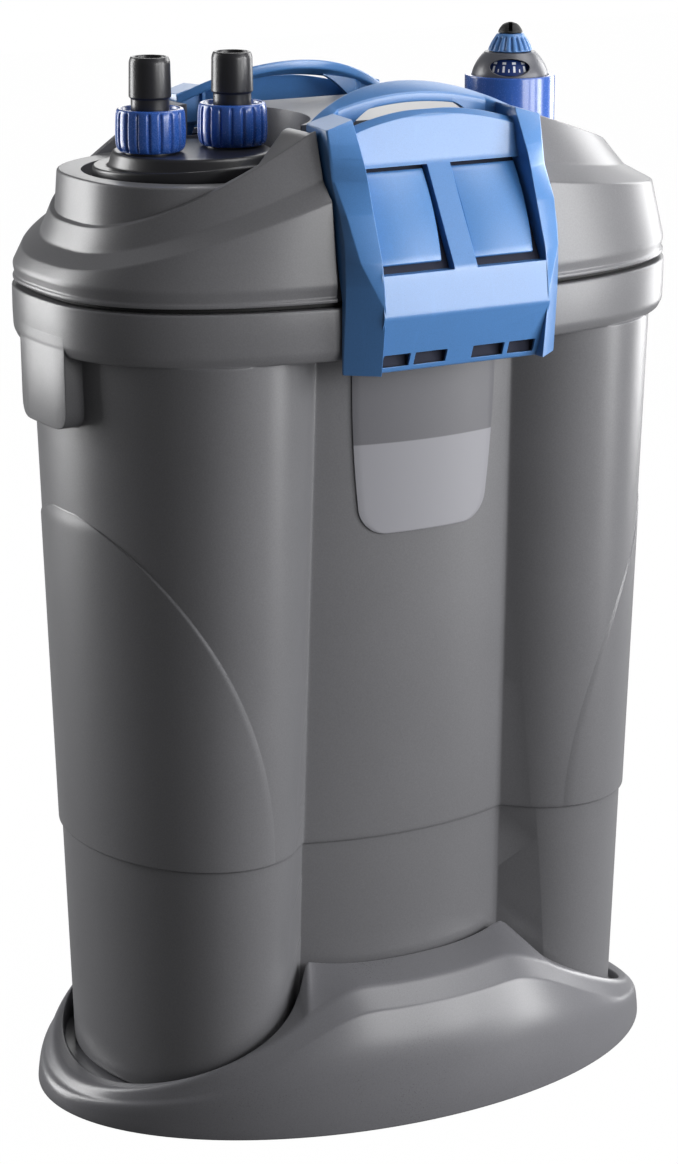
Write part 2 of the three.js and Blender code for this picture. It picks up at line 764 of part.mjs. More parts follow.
function makeLatchFrame() {
  const back = ([y, z], lift) => [y + latchPlate, rimTop + z + lift];
  const plateOutline = [
    onLatch(plateTop),
    onLatch(windowTop),
    onLatch(windowBottom),
    onLatch(plateCrease),
    onLatch(plateFoot),
    [-hookReach, rimTop + plateFoot[1]],
    [-hookReach, rimTop + hookTop],
    [plateFoot[0] + latchPlate, rimTop + hookTop],
    back(plateCrease, 0.8),
    back(windowBottom, -1.4),
    back(windowTop, -1.4),
    back(plateTop, plateTopSlope * latchPlate),
  ];
  const plate = alongX(plateOutline, -railInner - 1, railInner + 1);
  const span = (from, to, side) => [side * from, side * to].sort((a, b) => a - b);
  const windows = bothSides((side) => block(
    ...span(mullionHalfWidth, railInner, side),
    -rimHalfDepth - through,
    pivotY,
    rimTop + windowBottom[1],
    rimTop + windowTop[1],
  ));
  const slots = slotSpans.flatMap(([from, to]) => bothSides((side) => block(
    ...span(from, to, side),
    -rimHalfDepth - through,
    plateFoot[0] + latchPlate,
    rimTop + slotBottom,
    rimTop + slotTop,
  )));
  const holeEnd = latchHalfWidth - pinLength / 2 - seatGap;
  return cut(
    join(
      cut(plate, archedTop(), ...windows, ...slots),
      ...bothSides(makeRail),
      ...bothSides(makeWeb),
      makeGrip(),
    ),
    pinBar(pinRadius + turnGap, 1, holeEnd, latchHalfOpening),
    pinBar(pinRadius + turnGap, 1, -latchHalfOpening, -holeEnd),
  );
}

// What is taken off above the plate's arched top edge, which leans back as it rises.
function archedTop() {
  const radius = (railInner ** 2 + plateTopRise ** 2) / (2 * plateTopRise);
  const crown = rimTop + plateTop[1];
  const reach = railInner + 3;
  const points = [];
  const steps = 10;
  for (let i = 0; i <= steps; i += 1) {
    const x = reach * (2 * i / steps - 1);
    points.push(new THREE.Vector2(x, crown - radius + Math.sqrt(radius ** 2 - x * x)));
  }
  points.push(new THREE.Vector2(reach, crown + through), new THREE.Vector2(-reach, crown + through));
  const outline = new THREE.Shape(points);
  const tool = new THREE.ExtrudeGeometry(outline, { depth: through, bevelEnabled: false });
  tool.rotateX(Math.PI / 2).translate(0, through / 2, 0);
  const lean = new THREE.Matrix4().makeShear(0, 0, 0, plateTopSlope, 0, 0);
  return closed(tool.applyMatrix4(lean).translate(0, plateTop[0], 0));
}

// A side rail with its pivot block: level sections from the foot up. Each runs from the
// inner front edge over an edge where the front face turns, to the outer edge and the back.
function makeRail(side) {
  const top = [
    [railInner, ...blockInnerTop],
    [latchHalfWidth - 0.5, ...blockOuterTop],
    [latchHalfWidth, ...blockSideTop],
    [latchHalfWidth, blockBackY - 0.4, blockBackOuterZ],
    [railInner, blockBackY, blockBackInnerZ],
  ];
  const rings = [...railLevels.map(railSection), top];
  const rail = skin(rings.map((ring) => ring.map(([x, y, z]) => [x, y, rimTop + z])));
  return side > 0 ? rail : mirrored(rail);
}

function railSection(z) {
  const back = piecewise(z, railBackLine);
  const footBack = z > railBackLine[0][0] ? back : back - 1;
  return [
    [railInner, piecewise(z, railInnerLine), z],
    [piecewise(z, railTurnXLine), piecewise(z, railTurnYLine), z],
    [latchHalfWidth, piecewise(z, railOuterLine), z],
    [latchHalfWidth, back, z],
    [railInner, footBack, z],
  ];
}

// A value that runs straight between [place, value] stops.
function piecewise(place, stops) {
  if (place <= stops[0][0]) return stops[0][1];
  for (let i = 1; i < stops.length; i += 1) {
    const [a, va] = stops[i - 1];
    const [b, vb] = stops[i];
    if (place <= b) return va + (vb - va) * (place - a) / (b - a);
  }
  return stops.at(-1)[1];
}

const mirrored = (geometry) => closed(geometry.clone().scale(-1, 1, 1));

const gripDrop = (x, radius) => radius - Math.sqrt(radius ** 2 - x * x);

// The arched grip: a band from block to block whose back edge rises and sweeps back.
function makeGrip() {
  const steps = 14;
  const reach = latchHalfWidth - 0.6;
  const rings = [];
  for (let i = 0; i <= steps; i += 1) {
    const x = reach * (2 * i / steps - 1);
    const backY = gripBackY - gripSweep * (x / reach) ** 2;
    const backZ = gripBackZ - gripDrop(x, gripBackRadius);
    const frontY = Math.abs(x) > railInner ? blockBackY - 2 : gripFrontY;
    const frontZ = gripFrontZ - gripDrop(x, gripFrontRadius);
    const section = [
      [backY, backZ],
      [frontY, Math.min(frontZ, backZ)],
      [frontY, Math.min(frontZ, backZ) - gripThickness],
      [backY, backZ - gripThickness],
    ];
    rings.push(section.map(([y, z]) => [x, y, rimTop + z]));
  }
  return skin(rings);
}

// The web under one end of the grip.
function makeWeb(side) {
  const rings = [webInner, (webInner + railInner) / 2, railInner + 1].map((x) => {
    const top = gripFrontZ - gripDrop(x, gripFrontRadius) - gripThickness / 2;
    const front = gripFrontY + 0.5;
    const section = [[webBackY, top], [front, top], [front, webFoot], [webBackY, webFoot]];
    return section.map(([y, z]) => [x, y, rimTop + z]);
  });
  const web = skin(rings);
  return side > 0 ? web : mirrored(web);
}

// The insert behind the windows: a slab with a raised pad for each window.
function makeLatchInsert() {
  const [topY, topZ] = windowTop;
  const [lowY, lowZ] = windowBottom;
  const length = Math.hypot(lowY - topY, lowZ - topZ);
  const [ty, tz] = [(lowY - topY) / length, (lowZ - topZ) / length];
  const at = (s, depth) => [topY + ty * s - tz * depth, rimTop + topZ + tz * s + ty * depth];
  const bar = (from, to, near, far) => [at(from, near), at(to, near), at(to, far), at(from, far)];
  const behind = latchPlate + seatGap;
  const slab = alongX(
    bar(insertTopGap, length - insertFootGap, behind, behind + insertThickness),
    -railInner + seatGap,
    railInner - seatGap,
  );
  const pads = bothSides((side) => {
    const ends = [mullionHalfWidth + insertSideGap, railInner - insertSideGap].map((x) => side * x);
    const [x0, x1] = ends.sort((a, b) => a - b);
    return alongX(bar(insertTopGap, length - insertFootGap, insertRecess, behind + 1), x0, x1);
  });
  return join(slab, ...pads);
}

function makeHingePin() {
  const half = pinLength / 2;
  const profile = [[0, -half], [pinRadius - 0.5, -half], [pinRadius, -half + 0.5],
    [pinRadius, half - 0.5], [pinRadius - 0.5, half], [0, half]];
  return turned(profile, 10).rotateY(Math.PI / 2);
}

// ---- Connector block, nozzles and nuts; heights start at the recess floor ----

const portXs = [-portSpacing / 2, portSpacing / 2];

function makeConnectorBlock() {
  const steps = 28;
  const rampRing = (radius, base, share) => Array.from({ length: steps }, (_, i) => {
    const t = 2 * Math.PI * i / steps;
    const lift = rampRise * (0.5 - 0.5 * Math.sin(t - 0.35)) ** 2;
    return [radius * Math.cos(t), radius * Math.sin(t), base + share * lift];
  });
  const disc = skin([
    rampRing(discRadius - 1, 0, 0),
    rampRing(discRadius, 1, 0),
    rampRing(discRadius, discRim - 1.2, 1),
    rampRing(discRadius - 1.2, discRim, 1),
    rampRing(hubRadius + 1.5, discRim - 0.4, 0.6),
    rampRing(hubRadius, discRim, 0.5),
    rampRing(hubRadius - 1.5, hubHeight - 0.8, 0),
    rampRing(hubRadius - 3, hubHeight, 0),
  ]);
  const stem = rod(stemRadius, -stemLength, 2, 24);
  const stubs = portXs.map((x) =>
    moved(rod(stubRadius, hubHeight - 1, hubHeight + stubHeight, 16), x, 0, 0));
  const ports = portXs.map((x) =>
    moved(rod(portRadius, -stemLength - 1, hubHeight + stubHeight + 1, 14), x, 0, 0));
  const groove = tube(stemRadius + 1, stemRadius - stemGroove, -stemLength + 8, -stemLength + 12.4, 24);
  return cut(join(disc, stem, ...stubs), ...ports, groove);
}

function makeStemSeal() {
  const ring = [];
  const steps = 5;
  for (let i = 0; i <= steps; i += 1) {
    const t = 2 * Math.PI * i / steps;
    ring.push([stemSealRadius + stemSealWidth / 2 * Math.cos(t), stemSealWidth / 2 * Math.sin(t)]);
  }
  return turned(ring, 24);
}

const makeGasket = () => tube(flangeRadius, portRadius + 0.6, 0, gasketHeight, 14);

function makeNozzle() {
  const neckTop = flangeHeight + neckLength;
  const top = neckTop + hoseLength;
  return turned([
    [boreRadius, 0],
    [flangeRadius, 0],
    [flangeRadius, flangeHeight],
    [neckRadius, flangeHeight],
    [neckRadius, neckTop - 1],
    [hoseRadius - 0.3, neckTop],
    [hoseRadius, neckTop + 1.2],
    [hoseRadius, top - 2.4],
    [hoseRadius - 0.9, top - 0.5],
    [hoseRadius - 1.5, top],
    [boreRadius, top],
    [boreRadius, 0],
  ], 16);
}

// A union nut: rounded ribs round its outside, a thread bore, and a lip over the flange.
function makeNut() {
  const steps = nutRibs * 2;
  const ribRing = (radius, depth, z) => Array.from({ length: steps }, (_, i) => {
    const r = radius - depth * (i % 2);
    const t = 2 * Math.PI * i / steps;
    return [r * Math.cos(t), r * Math.sin(t), z];
  });
  const outside = skin([
    ribRing(nutRadius - 1.2, 0.2, 0),
    ribRing(nutRadius, nutRibDepth, 1.5),
    ribRing(nutRadius, nutRibDepth, nutHeight - 2),
    ribRing(nutRadius - 1.4, 0.2, nutHeight),
  ]);
  return cut(
    outside,
    rod(stubRadius + turnGap, -1, nutHeight - nutLip, 16),
    rod(hoseRadius + turnGap, nutHeight - nutLip - 1, nutHeight + 1, 16),
  );
}

// ---- Heater; heights start at the sleeve's top ----

const sleeveBore = sleeveRadius - sleeveWall;
const headRadius = sleeveBore - turnGap;

function makeSleeve() {
  const foot = lidCeilingZ - seatGap - sleeveTopZ;
  return turned([
    [glassRadius + 1.2, foot - sleeveFlangeHeight],
    [sleeveFlangeRadius, foot - sleeveFlangeHeight],
    [sleeveFlangeRadius, foot],
    [sleeveRadius, foot],
    [sleeveRadius, -0.6],
    [sleeveRadius - 0.6, 0],
    [sleeveBore + 0.4, 0],
    [sleeveBore, -0.4],
    [sleeveBore, -sleeveLedge],
    [glassRadius + 1.2, -sleeveLedge],
    [glassRadius + 1.2, foot - sleeveFlangeHeight],
  ], 20);
}

// The dome's radius at a share of its height, from the sleeve up to the knob.
const domeRadiusAt = (share) =>
  headRadius * Math.sqrt(1 - (share * domeHeight / domeReach) ** 1.465);

function domeLine(inwards, from, to, steps) {
  return Array.from({ length: steps + 1 }, (_, i) => {
    const share = from + (to - from) * i / steps;
    return [domeRadiusAt(share) - inwards, domeHeight * share];
  });
}

function makeHeaterHead() {
  const low = -sleeveLedge + seatGap;
  const neck = knobNeckRadius + turnGap;
  const socket = glassRadius + turnGap;
  const shell = turned([
    [0, low + headSocket],
    [socket, low + headSocket],
    [socket, low],
    [headRadius, low],
    ...domeLine(0, 0, 1, 5),
    [neck, domeHeight],
    [neck, domeHeight - domeWall],
    ...domeLine(domeWall, 0.75, 0, 2),
    [headRadius - domeWall, low + headSocket + domeWall],
    [0, low + headSocket + domeWall],
  ], 20);
  const oval = new THREE.Shape();
  oval.absellipse(0, domeHeight * 0.4, windowHalfWidth, windowHalfHeight, 0, 2 * Math.PI);
  const tool = new THREE.ExtrudeGeometry(oval, { depth: 30, bevelEnabled: false, curveSegments: 5 });
  tool.rotateX(Math.PI / 2);
  const toSide = new THREE.Matrix4().makeRotationZ(THREE.MathUtils.degToRad(windowTurn + 90));
  return cut(shell, closed(tool.applyMatrix4(toSide)));
}

// The scale drum inside the dome; it turns with the knob.
function makeScale() {
  const off = domeWall + 0.5;
  return turned([
    [glandRadius + turnGap, 0.6],
    [domeRadiusAt(0.06) - off, 0.6],
    ...domeLine(off, 0.12, 0.72, 3),
    [glandRadius + turnGap, domeHeight * 0.72],
    [glandRadius + turnGap, 0.6],
  ], 20);
}

function makeKnob() {
  const steps = knobRibs * 2;
  const ribRing = (radius, depth, z) => Array.from({ length: steps }, (_, i) => {
    const r = radius - depth * (i % 2);
    const t = 2 * Math.PI * i / steps;
    return [r * Math.cos(t), r * Math.sin(t), z];
  });
  const cone = skin([
    ribRing(knobRadius, 0.1, domeHeight + seatGap),
    ribRing(knobRadius - 0.2, knobRibDepth, domeHeight + seatGap + 1),
    ribRing(knobRadius - 1.1, knobRibDepth, domeHeight + knobHeight * 0.42),
    ribRing(knobTopRadius + 0.8, knobRibDepth * 0.6, domeHeight + knobHeight * 0.84),
    ribRing(knobTopRadius, 0.1, domeHeight + knobHeight),
  ]);
  const neck = rod(knobNeckRadius, domeHeight * 0.72 + seatGap, domeHeight + 1, 16);
  const bore = rod(glandRadius + turnGap, 0, domeHeight + knobHeight + 1, smallSteps);
  return cut(join(cone, neck), bore);
}

function makeGland() {
  const foot = -sleeveLedge + headSocket + domeWall + 2 * seatGap;
  const tip = domeHeight + knobHeight + seatGap;
  const body = turned([
    [0, foot],
    [glandRadius + 2, foot],
    [glandRadius + 2, foot + 3],
    [glandRadius, foot + 4],
    [glandRadius, tip],
    [glandTipRadius, tip],
    [glandTipRadius, tip + glandTipHeight * 0.15],
    [glandTipRadius * 0.9, tip + glandTipHeight * 0.45],
    [glandTipRadius * 0.66, tip + glandTipHeight * 0.8],
    [glandTipRadius * 0.36, tip + glandTipHeight],
    [0, tip + glandTipHeight],
  ], 14);
  const slit = block(-glandSlit / 2, glandSlit / 2, -glandTipRadius - 1, 0.6, tip + 0.8, tip + 9);
  return cut(body, closed(slit.rotateZ(THREE.MathUtils.degToRad(windowTurn + 90))));
}

function makeGlass() {
  const low = -glassLength;
  return turned([
    [0, low],
    [glassRadius * 0.6, low + 1.5],
    [glassRadius * 0.9, low + 5],
    [glassRadius, low + 11],
    [glassRadius, 0],
    [glassRadius - glassWall, 0],
    [glassRadius - glassWall, low + 11],
    [glassRadius * 0.6, low + 5],
    [0, low + 3.5],
  ], 18);
}

// ---- Prefilter, baskets and media ----

const insideFloor = canisterBottom + canisterWall;

function makePrefilterCore() {
  const top = discBottom - stemLength - seatGap - 1;
  const low = insideFloor + seatGap;
  return turned([
    [coreRadius - coreWall, low],
    [coreFlangeRadius, low],
    [coreFlangeRadius, low + coreFlangeHeight],
    [coreRadius, low + coreFlangeHeight],
    [coreRadius, top],
    [coreRadius - coreWall, top],
    [coreRadius - coreWall, low],
  ], 18);
}

const foamBase = insideFloor + seatGap + coreFlangeHeight + seatGap;
const foamTop = canisterBottom + basketCount * basketHeight + 10;
const foamPitch = (foamTop - foamBase) / foamCount;

function makeFoamRing() {
  const round = 4;
  const inner = coreRadius + seatGap;
  const top = foamPitch - seatGap;
  return turned([
    [inner, 0],
    [foamRadius - round, 0],
    [foamRadius, round],
    [foamRadius, top - round],
    [foamRadius - round, top],
    [inner, top],
    [inner, 0],
  ], 18);
}

const basketBase = (index) => insideFloor + seatGap + index * (basketHeight + seatGap);
const basketInset = (z) => leanAt(z) + canisterStepDepth + canisterWall + basketGap;

function shaftHoles(low, high, grow) {
  return [
    moved(rod(prefilterHole + grow, low, high), connectorX, 0, 0),
    moved(rod(heaterHole + grow, low, high, smallSteps), heaterX, 0, 0),
  ];
}

// A media basket: a lobed pot with two chimneys, for the prefilter and the heater, and a
// slotted floor.
function makeBasket(index) {
  const low = basketBase(index);
  const high = low + basketHeight;
  const corner = index === 0 ? canisterEdge : 0.5;
  const pot = skin([
    plainRing(basketInset(low) + corner, low),
    plainRing(basketInset(low + corner), low + corner + 0.5),
    plainRing(basketInset(high), high),
    plainRing(basketInset(high) + basketWall, high),
    plainRing(basketInset(low + corner) + basketWall + corner * 0.4, low + basketFloor),
  ]);
  const slots = [];
  for (const x of [-20, 2, 24, 46]) {
    slots.push(block(x - 2.5, x + 2.5, -45, 45, low - 1, low + basketFloor + 1));
  }
  return cut(
    join(pot, ...shaftHoles(low, high, basketWall)),
    ...shaftHoles(low - 1, high + 1, 0),
    ...slots,
  );
}

function makeMedia(index) {
  const low = basketBase(index) + basketFloor + seatGap;
  const high = basketBase(index) + basketHeight - mediaTopGap;
  const inset = (z) => basketInset(z) + basketWall + 1.2;
  const corner = index === 0 ? 3.5 : 0;
  const body = skin([plainRing(inset(low) + corner, low), plainRing(inset(high), high)]);
  return cut(body, ...shaftHoles(low - 1, high + 1, basketWall + 0.8));
}

// ---- Pump; heights start at the top of the pump bay ----

const motorLow = -seatGap - motorHeight;
const rotorTop = motorLow + rotorBayDepth;

function makeMotor() {
  return turned([
    [rotorBayRadius, motorLow],
    [motorRadius, motorLow],
    [motorRadius, -seatGap],
    [0, -seatGap],
    [0, rotorTop + bushHeight + seatGap],
    [bushRadius + seatGap, rotorTop + bushHeight + seatGap],
    [bushRadius + seatGap, rotorTop],
    [rotorBayRadius, rotorTop],
    [rotorBayRadius, motorLow],
  ]);
}

function makeBush() {
  return tube(bushRadius, shaftRadius + faceGap, 0, bushHeight, smallSteps);
}

const shaftLow = motorLow - coverHeight + coverWall;
const shaftTop = rotorTop + bushHeight;

const makeShaft = () => rod(shaftRadius, shaftLow, shaftTop, 10);

// The impeller: a magnet rod and a hub that carries straight vanes leaning off the radius.
function makeImpeller() {
  const vaneTop = motorLow - 1.5;
  const hubLow = vaneTop - vaneHeight;
  const magnet = rod(rotorRadius, rotorTop - 1.5 - rotorHeight, rotorTop - 1.5, 18);
  const hub = rod(rotorRadius * 0.7, hubLow, motorLow + 3, 18);
  const vanes = Array.from({ length: vaneCount }, (_, i) => {
    const half = vaneThickness / 2;
    const vane = block(-half, half, rotorRadius * 0.4, impellerRadius, hubLow, vaneTop);
    vane.rotateZ(-0.35).translate(2, 0, 0);
    return vane.rotateZ(2 * Math.PI * i / vaneCount);
  });
  const bore = rod(shaftRadius + turnGap, hubLow - 1, rotorTop, smallSteps);
  return cut(join(magnet, hub, ...vanes), bore);
}

// The pump cover: a cup with a round inlet, and a three-armed spider for the lower bush.
function makePumpCover() {
  const top = motorLow - seatGap;
  const low = top - coverHeight;
  const cup = turned([
    [coverInlet, low],
    [motorRadius, low],
    [motorRadius, top],
    [motorRadius - coverWall, top],
    [motorRadius - coverWall, low + coverWall],
    [coverInlet, low + coverWall],
    [coverInlet, low],
  ]);
  const hub = rod(bushRadius + 2, low, low + coverWall, smallSteps);
  const arms = Array.from({ length: 3 }, (_, i) =>
    block(-1.5, 1.5, bushRadius, coverInlet + 1, low, low + coverWall).rotateZ(2 * Math.PI * i / 3));
  return join(cup, hub, ...arms);
}

// ---- Assembly ----

const filter = new THREE.Group();

function add(parent, name, geometry, material, x = 0, y = 0, z = 0) {
  const mesh = new THREE.Mesh(closed(geometry), material);
  mesh.name = name;
  mesh.position.set(x, y, z);
  parent.add(mesh);
  return mesh;
}

function groupAt(x, y, z) {
  const group = new THREE.Group();
  group.position.set(x, y, z);
  filter.add(group);
  return group;
}

add(filter, 'foot_tray', makeFoot(), footGrey);
padPlaces().forEach(([x, y], i) => add(filter, `foot_pad_${i + 1}`, makePad(), rubberBlack, x, y, 0));
add(filter, 'canister_shell', makeCanister(), bodyGrey);
add(filter, 'label_plate', makeLabel(), labelGrey);
add(filter, 'rim_seal', makeRimSeal(), rubberBlack);
add(filter, 'lid_shell', makeLid(), bodyGrey);

const latchFrame = makeLatchFrame();
const latchInsert = makeLatchInsert();
for (const [side, turn] of [['front', 0], ['rear', Math.PI]]) {
  const latch = groupAt(0, 0, 0);
  latch.rotation.z = turn;
  add(latch, `${side}_latch_frame`, latchFrame, latchBlue);
  add(latch, `${side}_latch_insert`, latchInsert, insertBlue);
  for (const [end, sign] of [['a', -1], ['b', 1]]) {
    const x = sign * latchHalfWidth;
    add(latch, `${side}_hinge_pin_${end}`, makeHingePin(), steel, x, pivotY, rimTop + pivotZ);
  }
}

const connector = groupAt(connectorX, 0, discBottom);
add(connector, 'connector_block', makeConnectorBlock(), glossBlack);
add(connector, 'connector_seal', makeStemSeal(), rubberBlack, 0, 0, -stemLength + 10.2);
['left', 'right'].forEach((side, i) => {
  const gasketZ = hubHeight + stubHeight + faceGap;
  const nozzleZ = gasketZ + gasketHeight + faceGap;
  const nutZ = nozzleZ + flangeHeight + seatGap + nutLip - nutHeight;
  add(connector, `${side}_nozzle_gasket`, makeGasket(), rubberBlack, portXs[i], 0, gasketZ);
  add(connector, `${side}_nozzle`, makeNozzle(), glossBlack, portXs[i], 0, nozzleZ);
  add(connector, `${side}_union_nut`, makeNut(), nutBlue, portXs[i], 0, nutZ);
});

const heater = groupAt(heaterX, 0, sleeveTopZ);
add(heater, 'heater_sleeve', makeSleeve(), nutBlue);
add(heater, 'heater_head', makeHeaterHead(), headGrey);
add(heater, 'temperature_scale', makeScale(), nutBlue);
add(heater, 'temperature_knob', makeKnob(), knobBlue);
add(heater, 'cord_gland', makeGland(), rubberBlack);
add(heater, 'heater_glass', makeGlass(), clearGlass, 0, 0, -sleeveLedge + headSocket);

add(filter, 'prefilter_core', makePrefilterCore(), basketGrey, connectorX, 0, 0);
for (let i = 0; i < foamCount; i += 1) {
  const z = foamBase + i * foamPitch;
  add(filter, `prefilter_foam_${i + 1}`, makeFoamRing(), foamOrange, connectorX, 0, z);
}
for (let i = 0; i < basketCount; i += 1) {
  add(filter, `media_basket_${i + 1}`, makeBasket(i), basketGrey);
  add(filter, `media_block_${i + 1}`, makeMedia(i), foamBlue);
}

const pump = groupAt(pumpX, 0, rimTop + pumpBayTop);
add(pump, 'pump_motor', makeMotor(), pumpGrey);
add(pump, 'pump_cover', makePumpCover(), pumpGrey);
add(pump, 'impeller', makeImpeller(), nutBlue);
add(pump, 'impeller_shaft', makeShaft(), ceramicWhite);
add(pump, 'shaft_bush_top', makeBush(), rubberBlack, 0, 0, rotorTop + faceGap);
add(pump, 'shaft_bush_bottom', makeBush(), rubberBlack, 0, 0, shaftLow);

export default filter;
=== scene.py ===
"""Shapes and finishes of a canister filter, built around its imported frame.

The scene is in metres, +Z up, with the origin on the floor under the middle of the foot.
-Y is the front and +X is the heater's end. Shapes are worked out in millimetres and are
scaled once, when their mesh is made.
"""

import math

import bmesh
import bpy
import numpy as np
from bpy.props import FloatProperty, FloatVectorProperty, IntProperty, PointerProperty
from mathutils import Matrix, Vector


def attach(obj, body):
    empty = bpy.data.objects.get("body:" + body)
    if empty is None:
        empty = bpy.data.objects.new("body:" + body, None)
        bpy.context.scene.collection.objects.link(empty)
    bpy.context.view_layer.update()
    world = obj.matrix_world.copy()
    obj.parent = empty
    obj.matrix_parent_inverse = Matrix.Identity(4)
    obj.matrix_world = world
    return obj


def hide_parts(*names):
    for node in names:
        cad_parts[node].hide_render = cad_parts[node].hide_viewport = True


bl_info = {
    "name": "Canister filter",
    "version": (1, 0, 0),
    "blender": (4, 5, 0),
    "location": "3D View > Sidebar > Filter",
    "description": "Shapes and finishes of a canister filter with two latches and a heater",
    "category": "Object",
}

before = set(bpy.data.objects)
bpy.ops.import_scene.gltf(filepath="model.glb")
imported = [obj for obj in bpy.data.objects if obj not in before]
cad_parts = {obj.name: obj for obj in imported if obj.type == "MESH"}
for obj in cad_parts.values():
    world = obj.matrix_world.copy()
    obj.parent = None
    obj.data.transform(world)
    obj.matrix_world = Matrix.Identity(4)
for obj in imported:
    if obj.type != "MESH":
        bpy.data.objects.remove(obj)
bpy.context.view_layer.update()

MM = 0.001

# ---- Heights and places that the frame fixes, in millimetres ----

FLOOR_TOP = 14.0
CANISTER_LOW = 14.3
STEP_Z = CANISTER_LOW + 112.0
RIM_TOP = CANISTER_LOW + 365.0
COLLAR_LOW = RIM_TOP - 23.3
LID_LOW = RIM_TOP + 2.4
PLATE_Z = RIM_TOP + 50.7
RECESS_Z = PLATE_Z - 6.0
DISC_Z = RECESS_Z + 0.3
SLEEVE_Z = RIM_TOP + 82.0
CONNECTOR_X = -78.0
HEATER_X = 88.4
PUMP_X = 14.0
PORT_PITCH = 40.7
PIVOT_Y = -66.0
PIVOT_Z = RIM_TOP + 67.0


# ---- Sizes and colours that a user may change ----


def distance(name, description, millimetres):
    """A length setting whose default is given in millimetres."""
    return FloatProperty(
        name=name,
        description=description,
        default=millimetres * MM,
        unit="LENGTH",
        subtype="DISTANCE",
    )


def linear(code):
    """The linear red, green and blue of a six-digit colour code."""
    values = [int(code[i : i + 2], 16) / 255 for i in (0, 2, 4)]
    return tuple(v / 12.92 if v <= 0.04045 else ((v + 0.055) / 1.055) ** 2.4 for v in values)


def colour(name, description, code):
    """A colour setting whose default is a six-digit colour code."""
    return FloatVectorProperty(
        name=name,
        description=description,
        default=linear(code),
        size=3,
        min=0,
        max=1,
        subtype="COLOR",
    )


class FilterSizes(bpy.types.PropertyGroup):
    """Sizes of the filter's visible forms."""

    lobe_spacing: distance("Lobe spacing", "Between the axes of the canister's two lobes", 177)
    lobe_length: distance("Lobe half length", "Half of a lobe along X, at the collar", 58.6)
    lobe_depth: distance("Lobe half depth", "Half of a lobe along Y, at the collar", 79.7)
    panel_depth: distance("Panel half depth", "From the axis to the middle panel", 70.3)
    panel_radius: distance("Panel radius", "Radius of the middle panel's curve", 149)
    relief: distance("Relief", "How far the lobes' end fields stand out", 0.6)
    crease: distance("Crease", "Rounding of the creases beside the middle panel", 1.0)
    rim_length: distance("Rim half length", "Half of the rim along X", 155)
    rim_depth: distance("Rim half depth", "Half of the rim along Y", 91)
    foot_length: distance("Foot half length", "Half of the foot along X", 157)
    foot_depth: distance("Foot half depth", "Half of the foot along Y", 105.5)
    foot_horn: distance("Horn height", "Height of the foot beside each crease", 70)
    foot_hump: distance("Hump height", "Height of the foot in front of the middle panel", 66)
    foot_end: distance("Foot end height", "Height of the foot at its two ends", 15)
    fin: distance("Fin thickness", "Thickness of the lid's upright fins", 3)
    latch_width: distance("Latch half width", "Half of a latch along X", 54.3)
    rail_inner: distance("Rail inner edge", "From the latch's middle to a side rail", 41.2)
    nut_radius: distance("Nut radius", "Radius over the union nuts' ribs", 15.6)
    nut_ribs: IntProperty(name="Nut ribs", description="Ribs round a union nut", default=18)
    knob_radius: distance("Knob radius", "Radius of the temperature knob's foot", 10.2)
    knob_ribs: IntProperty(name="Knob ribs", description="Ribs round the knob", default=18)


class FilterColours(bpy.types.PropertyGroup):
    """Colours of the filter's finishes."""

    body: colour("Body", "Canister and lid", "6A6A6D")
    foot: colour("Foot", "Foot tray", "6A6A6E")
    label_upper: colour("Label, upper field", "Darker field of the label plate", "626267")
    label_lower: colour("Label, lower field", "Lighter field of the label plate", "8E8E94")
    latch: colour("Latch", "Latch frames", "4A7EBA")
    insert: colour("Latch insert", "Panels behind the latch windows", "467CB8")
    nut: colour("Nut", "Union nuts and heater sleeve", "305CB0")
    knob: colour("Knob", "Temperature knob", "5580B8")
    black: colour("Black", "Connector block and nozzles", "232327")
    head: colour("Heater head", "Dome over the heater", "595A60")
    drum: colour("Scale drum", "Drum behind the heater's window", "16306B")
    rubber: colour("Rubber", "Pads, seals and cord gland", "0E0E0F")


def power(name, watts):
    """A light's power in watts."""
    return FloatProperty(name=name, description=f"Power of the {name.lower()}", default=watts, min=0)


class StageSettings(bpy.types.PropertyGroup):
    """Camera and studio light."""

    azimuth: FloatProperty(
        name="Azimuth",
        description="Camera's turn from the front, to the left below zero",
        default=math.radians(-30.52),
        unit="ROTATION",
        subtype="ANGLE",
    )
    elevation: FloatProperty(
        name="Elevation",
        description="Camera's height angle",
        default=math.radians(16.28),
        unit="ROTATION",
        subtype="ANGLE",
    )
    camera_distance: distance("Camera distance", "From the camera to the aim point", 1580)
    aim_height: distance("Aim height", "Height of the aim point", 200)
    key: power("Key light", 6)
    upper: power("Upper light", 1.2)
    front: power("Front light", 5)
    fill: power("Fill light", 12)
    left: power("Left light", 22)
    right: power("Right light", 15)
    back: power("Back light", 6)
    top: power("Top light", 8)
    sky: FloatProperty(name="Sky", description="Strength of the world's light", default=0.08, min=0)


def size(name):
    """One of the sizes, in millimetres."""
    return getattr(bpy.context.scene.filter_sizes, name) / MM


def paint(name):
    """One of the colours."""
    return tuple(getattr(bpy.context.scene.filter_colours, name))


# ---- Meshes ----


def ring_quads(rows, columns, loop=False):
    """Quads between the rows of a chain of closed rings; with loop, the last row meets the first."""
    low = np.arange(rows if loop else rows - 1)[:, None] * columns
    high = (low + columns) % (rows * columns)
    here = np.arange(columns)
    after = (here + 1) % columns
    return np.stack([low + here, low + after, high + after, high + here], -1).reshape(-1, 4).tolist()


def add_object(name, data):
    """A new object in the scene."""
    made = bpy.data.objects.new(name, data)
    bpy.context.scene.collection.objects.link(made)
    return made


